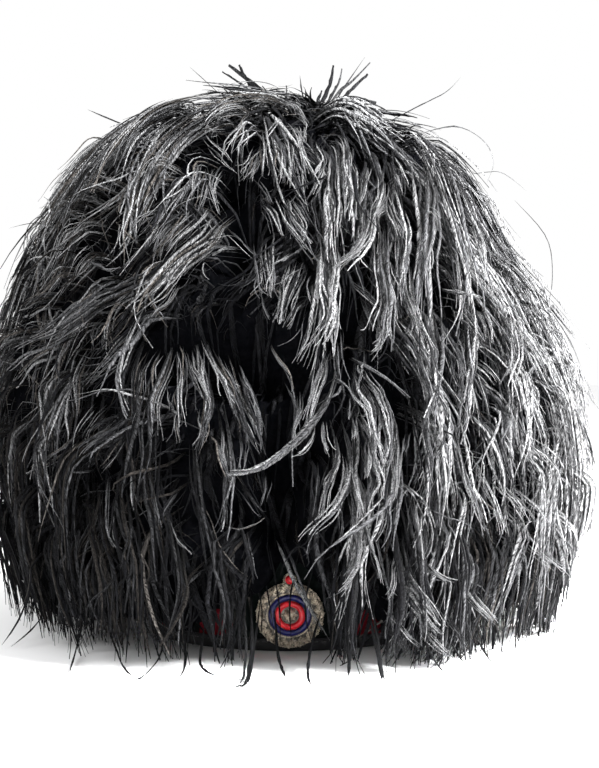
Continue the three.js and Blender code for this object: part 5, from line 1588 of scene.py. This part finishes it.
class BONNET_OT_badge(bpy.types.Operator):
    """Make the bullion badge"""

    bl_idname = "bonnet.badge"
    bl_label = "Badge"

    def execute(self, context):
        settings = context.scene.bonnet_badge
        gilt = gilt_material("tarnished gilt", settings, 1.0)
        # The plate under the coils is a darkened copy of the gilt: painted shade between the coils.
        shaded_gilt = gilt_material("shaded gilt", settings, 0.16)
        red = enamel_material("red enamel", settings.red_colour)
        blue = enamel_material("blue enamel", settings.blue_colour)
        outer = settings.radius / METRES
        wire = settings.wire / METRES
        parts = []

        turns, steps = 4, 10
        t = np.linspace(0, 1, turns * steps + 1)
        spin = 2 * math.pi * turns * t
        thick = 1.15 * np.sin(math.pi * (0.1 + 0.8 * t)) ** 0.5
        for number in range(settings.coils):
            angle = 2 * math.pi * number / settings.coils
            slant = 0.75 if number % 2 else -0.75
            middle = 14.9 + 0.9 * (number % 2)
            run = 4.6 * (t - 0.5)
            radius = middle + run * math.cos(slant) - thick * np.cos(spin) * math.sin(slant)
            aside = run * math.sin(slant) + thick * np.cos(spin) * math.cos(slant)
            across = radius * math.sin(angle) + aside * math.cos(angle)
            up = radius * math.cos(angle) - aside * math.sin(angle)
            parts.append(tube(on_band(across, up, 1.9 + 0.4 * (number % 2) + 0.8 * thick * np.sin(spin)), wire, 6))
        for radius, rise, thick, plies in ((outer - 0.6, 0.7, 0.55, 90), (11.9, 1.5, 0.42, 64)):
            for ply in (0, math.pi):
                angle = np.linspace(0, 2 * math.pi, 6 * plies, endpoint=False)
                spin = plies / 2 * angle + ply
                r = radius + 0.5 * thick * np.cos(spin)
                line = on_band(r * np.sin(angle), r * np.cos(angle), rise + 0.5 * thick * np.sin(spin))
                parts.append(tube(line, 0.55 * thick, 5, closed=True))
        for number in range(12):
            angle = 2 * math.pi * number / 12
            bead = np.linspace(-0.75, 0.75, 7)
            r = 3.0 + 0 * bead
            line = on_band(r * np.sin(angle), CREST_UP + r * np.cos(angle), 1.5 + bead)
            parts.append(tube(line, np.sqrt(np.maximum(0.75**2 - bead**2, 0.02)), 8))
        coils = mesh_object("badge_bullion", *joined(parts), shade_smooth=True)
        finish_piece(coils, gilt, "gilt")

        plate = [(0, -RIM_STEP), (12, -RIM_STEP), (12, 0), (outer - 1.2, 0), (outer - 0.6, 0.3), (outer - 0.7, 0.8), (15, 1.4), (12.6, 1.2), (0, 1.0)]
        finish_piece(badge_turned("badge_plate", plate, 72, ends_on_axis=True), shaded_gilt, "gilt", "badge_wreath")
        collar = [(0, -RIM_STEP), (3.3, -RIM_STEP), (3.6, 0.4), (3.5, 1.2), (2.9, 1.6), (0, 1.5)]
        finish_piece(badge_turned("badge_crest", collar, 32, CREST_UP, ends_on_axis=True), gilt, "gilt")

        ring = [(8.2, 1.3), (11.2, 1.3), (11.2, 1.9), (10.9, 2.3), (10.3, 2.55), (9.7, 2.62), (9.1, 2.55), (8.5, 2.3),
                (8.2, 1.9)]
        finish_piece(badge_turned("badge_blue_ring", ring, 72), blue, "blue_enamel", "badge_blue")
        ring = [(4.7, 1.3), (7.9, 1.3), (7.9, 2.0), (7.6, 2.6), (7.0, 2.95), (6.3, 3.05), (5.6, 2.95), (5.0, 2.6), (4.7, 2.0)]
        finish_piece(badge_turned("badge_red_ring", ring, 72), red, "red_enamel", "badge_red")
        star = [(0, 1.3), (4.2, 1.3), (4.3, 1.6), (4.0, 2.2), (1.4, 3.2), (0, 3.5)]
        finish_piece(
            badge_turned("badge_boss", star, 96, points=8, depth=0.38, ends_on_axis=True), gilt, "gilt", "badge_star"
        )
        stone = [(0, 1.9), (2.2, 1.9), (2.6, 2.1), (2.5, 2.6), (2.1, 3.2), (1.4, 3.6), (0.7, 3.8), (0, 3.85)]
        finish_piece(
            badge_turned("badge_cabochon", stone, 36, CREST_UP, ends_on_axis=True), red, "red_enamel", "badge_stone"
        )
        return {"FINISHED"}


class BONNET_OT_stage(bpy.types.Operator):
    """Make the floor, the light and the camera"""

    bl_idname = "bonnet.stage"
    bl_label = "Stage"

    def execute(self, context):
        settings = context.scene.bonnet_stage
        angle = 2 * math.pi * np.arange(96) / 96
        edge = 12 / METRES * np.stack([np.cos(angle), np.sin(angle), 0 * angle], -1)
        floor = mesh_object("floor", edge, [range(96)])
        made = NodeTree("pale floor")
        grain = made.noise(60.0)
        pale = tuple(settings.floor_colour)
        made.link(made.ramp(grain, [(0.3, tuple(c * 0.985 for c in pale)), (0.7, pale)]), made.shader.inputs["Base Color"])
        made.set(Roughness=0.9)
        floor.data.materials.append(made.material)

        world = bpy.data.worlds.new("white surround")
        world.use_nodes = True
        surround = world.node_tree.nodes["Background"]
        surround.inputs["Color"].default_value = (1, 1, 1, 1)
        surround.inputs["Strength"].default_value = settings.sky_strength
        context.scene.world = world

        lights = [
            ("key", (0.85, -0.7, 1.15), 0.35, settings.key_power),
            ("side", (1.1, 0.35, 0.5), 0.6, settings.side_power),
            ("fill", (-0.9, -0.8, 0.7), 0.8, settings.fill_power),
        ]
        target = Vector((0, 0, 0.17))
        for name, place, size, power in lights:
            lamp = bpy.data.lights.new(name, "AREA")
            lamp.energy = power
            lamp.size = size
            light = bpy.data.objects.new(name, lamp)
            light.location = place
            light.rotation_euler = (target - Vector(place)).to_track_quat("-Z", "Y").to_euler()
            context.scene.collection.objects.link(light)

        lens = bpy.data.cameras.new("camera")
        lens.lens = settings.lens
        lens.sensor_width = 36
        camera = bpy.data.objects.new("camera", lens)
        camera.location = (0, -settings.camera_distance, settings.camera_height)
        camera.rotation_euler = Euler((math.radians(90 - 0.66), 0, math.radians(-0.35)))
        context.scene.collection.objects.link(camera)
        context.scene.camera = camera
        context.scene.view_settings.view_transform = "Standard"
        return {"FINISHED"}


class BONNET_PT_panel(bpy.types.Panel):
    """The bonnet's makers in the sidebar"""

    bl_label = "Feather Bonnet"
    bl_idname = "BONNET_PT_panel"
    bl_space_type = "VIEW_3D"
    bl_region_type = "UI"
    bl_category = "Bonnet"

    def draw(self, context):
        for maker in MAKERS:
            self.layout.operator(maker.bl_idname)


MAKERS = [
    BONNET_OT_crown_cloth,
    BONNET_OT_band,
    BONNET_OT_rim,
    BONNET_OT_badge,
    BONNET_OT_feathers,
    BONNET_OT_pile,
    BONNET_OT_down,
    BONNET_OT_front_locks,
    BONNET_OT_wisps,
    BONNET_OT_stage,
]
SETTINGS = [ClothSettings, BadgeSettings, FeatherSettings, StageSettings]


def register():
    for made in (*SETTINGS, *MAKERS, BONNET_PT_panel):
        bpy.utils.register_class(made)
    bpy.types.Scene.bonnet_cloth = bpy.props.PointerProperty(type=ClothSettings)
    bpy.types.Scene.bonnet_badge = bpy.props.PointerProperty(type=BadgeSettings)
    bpy.types.Scene.bonnet_feathers = bpy.props.PointerProperty(type=FeatherSettings)
    bpy.types.Scene.bonnet_stage = bpy.props.PointerProperty(type=StageSettings)


def unregister():
    del bpy.types.Scene.bonnet_stage
    del bpy.types.Scene.bonnet_feathers
    del bpy.types.Scene.bonnet_badge
    del bpy.types.Scene.bonnet_cloth
    for made in (BONNET_PT_panel, *reversed(MAKERS), *reversed(SETTINGS)):
        bpy.utils.unregister_class(made)


def main():
    register()
    bpy.ops.bonnet.crown_cloth()
    bpy.ops.bonnet.band()
    bpy.ops.bonnet.rim()
    bpy.ops.bonnet.badge()
    bpy.ops.bonnet.feathers()
    bpy.ops.bonnet.pile()
    bpy.ops.bonnet.down()
    bpy.ops.bonnet.front_locks()
    bpy.ops.bonnet.wisps()
    bpy.ops.bonnet.stage()


if __name__ == "__main__":
    main()
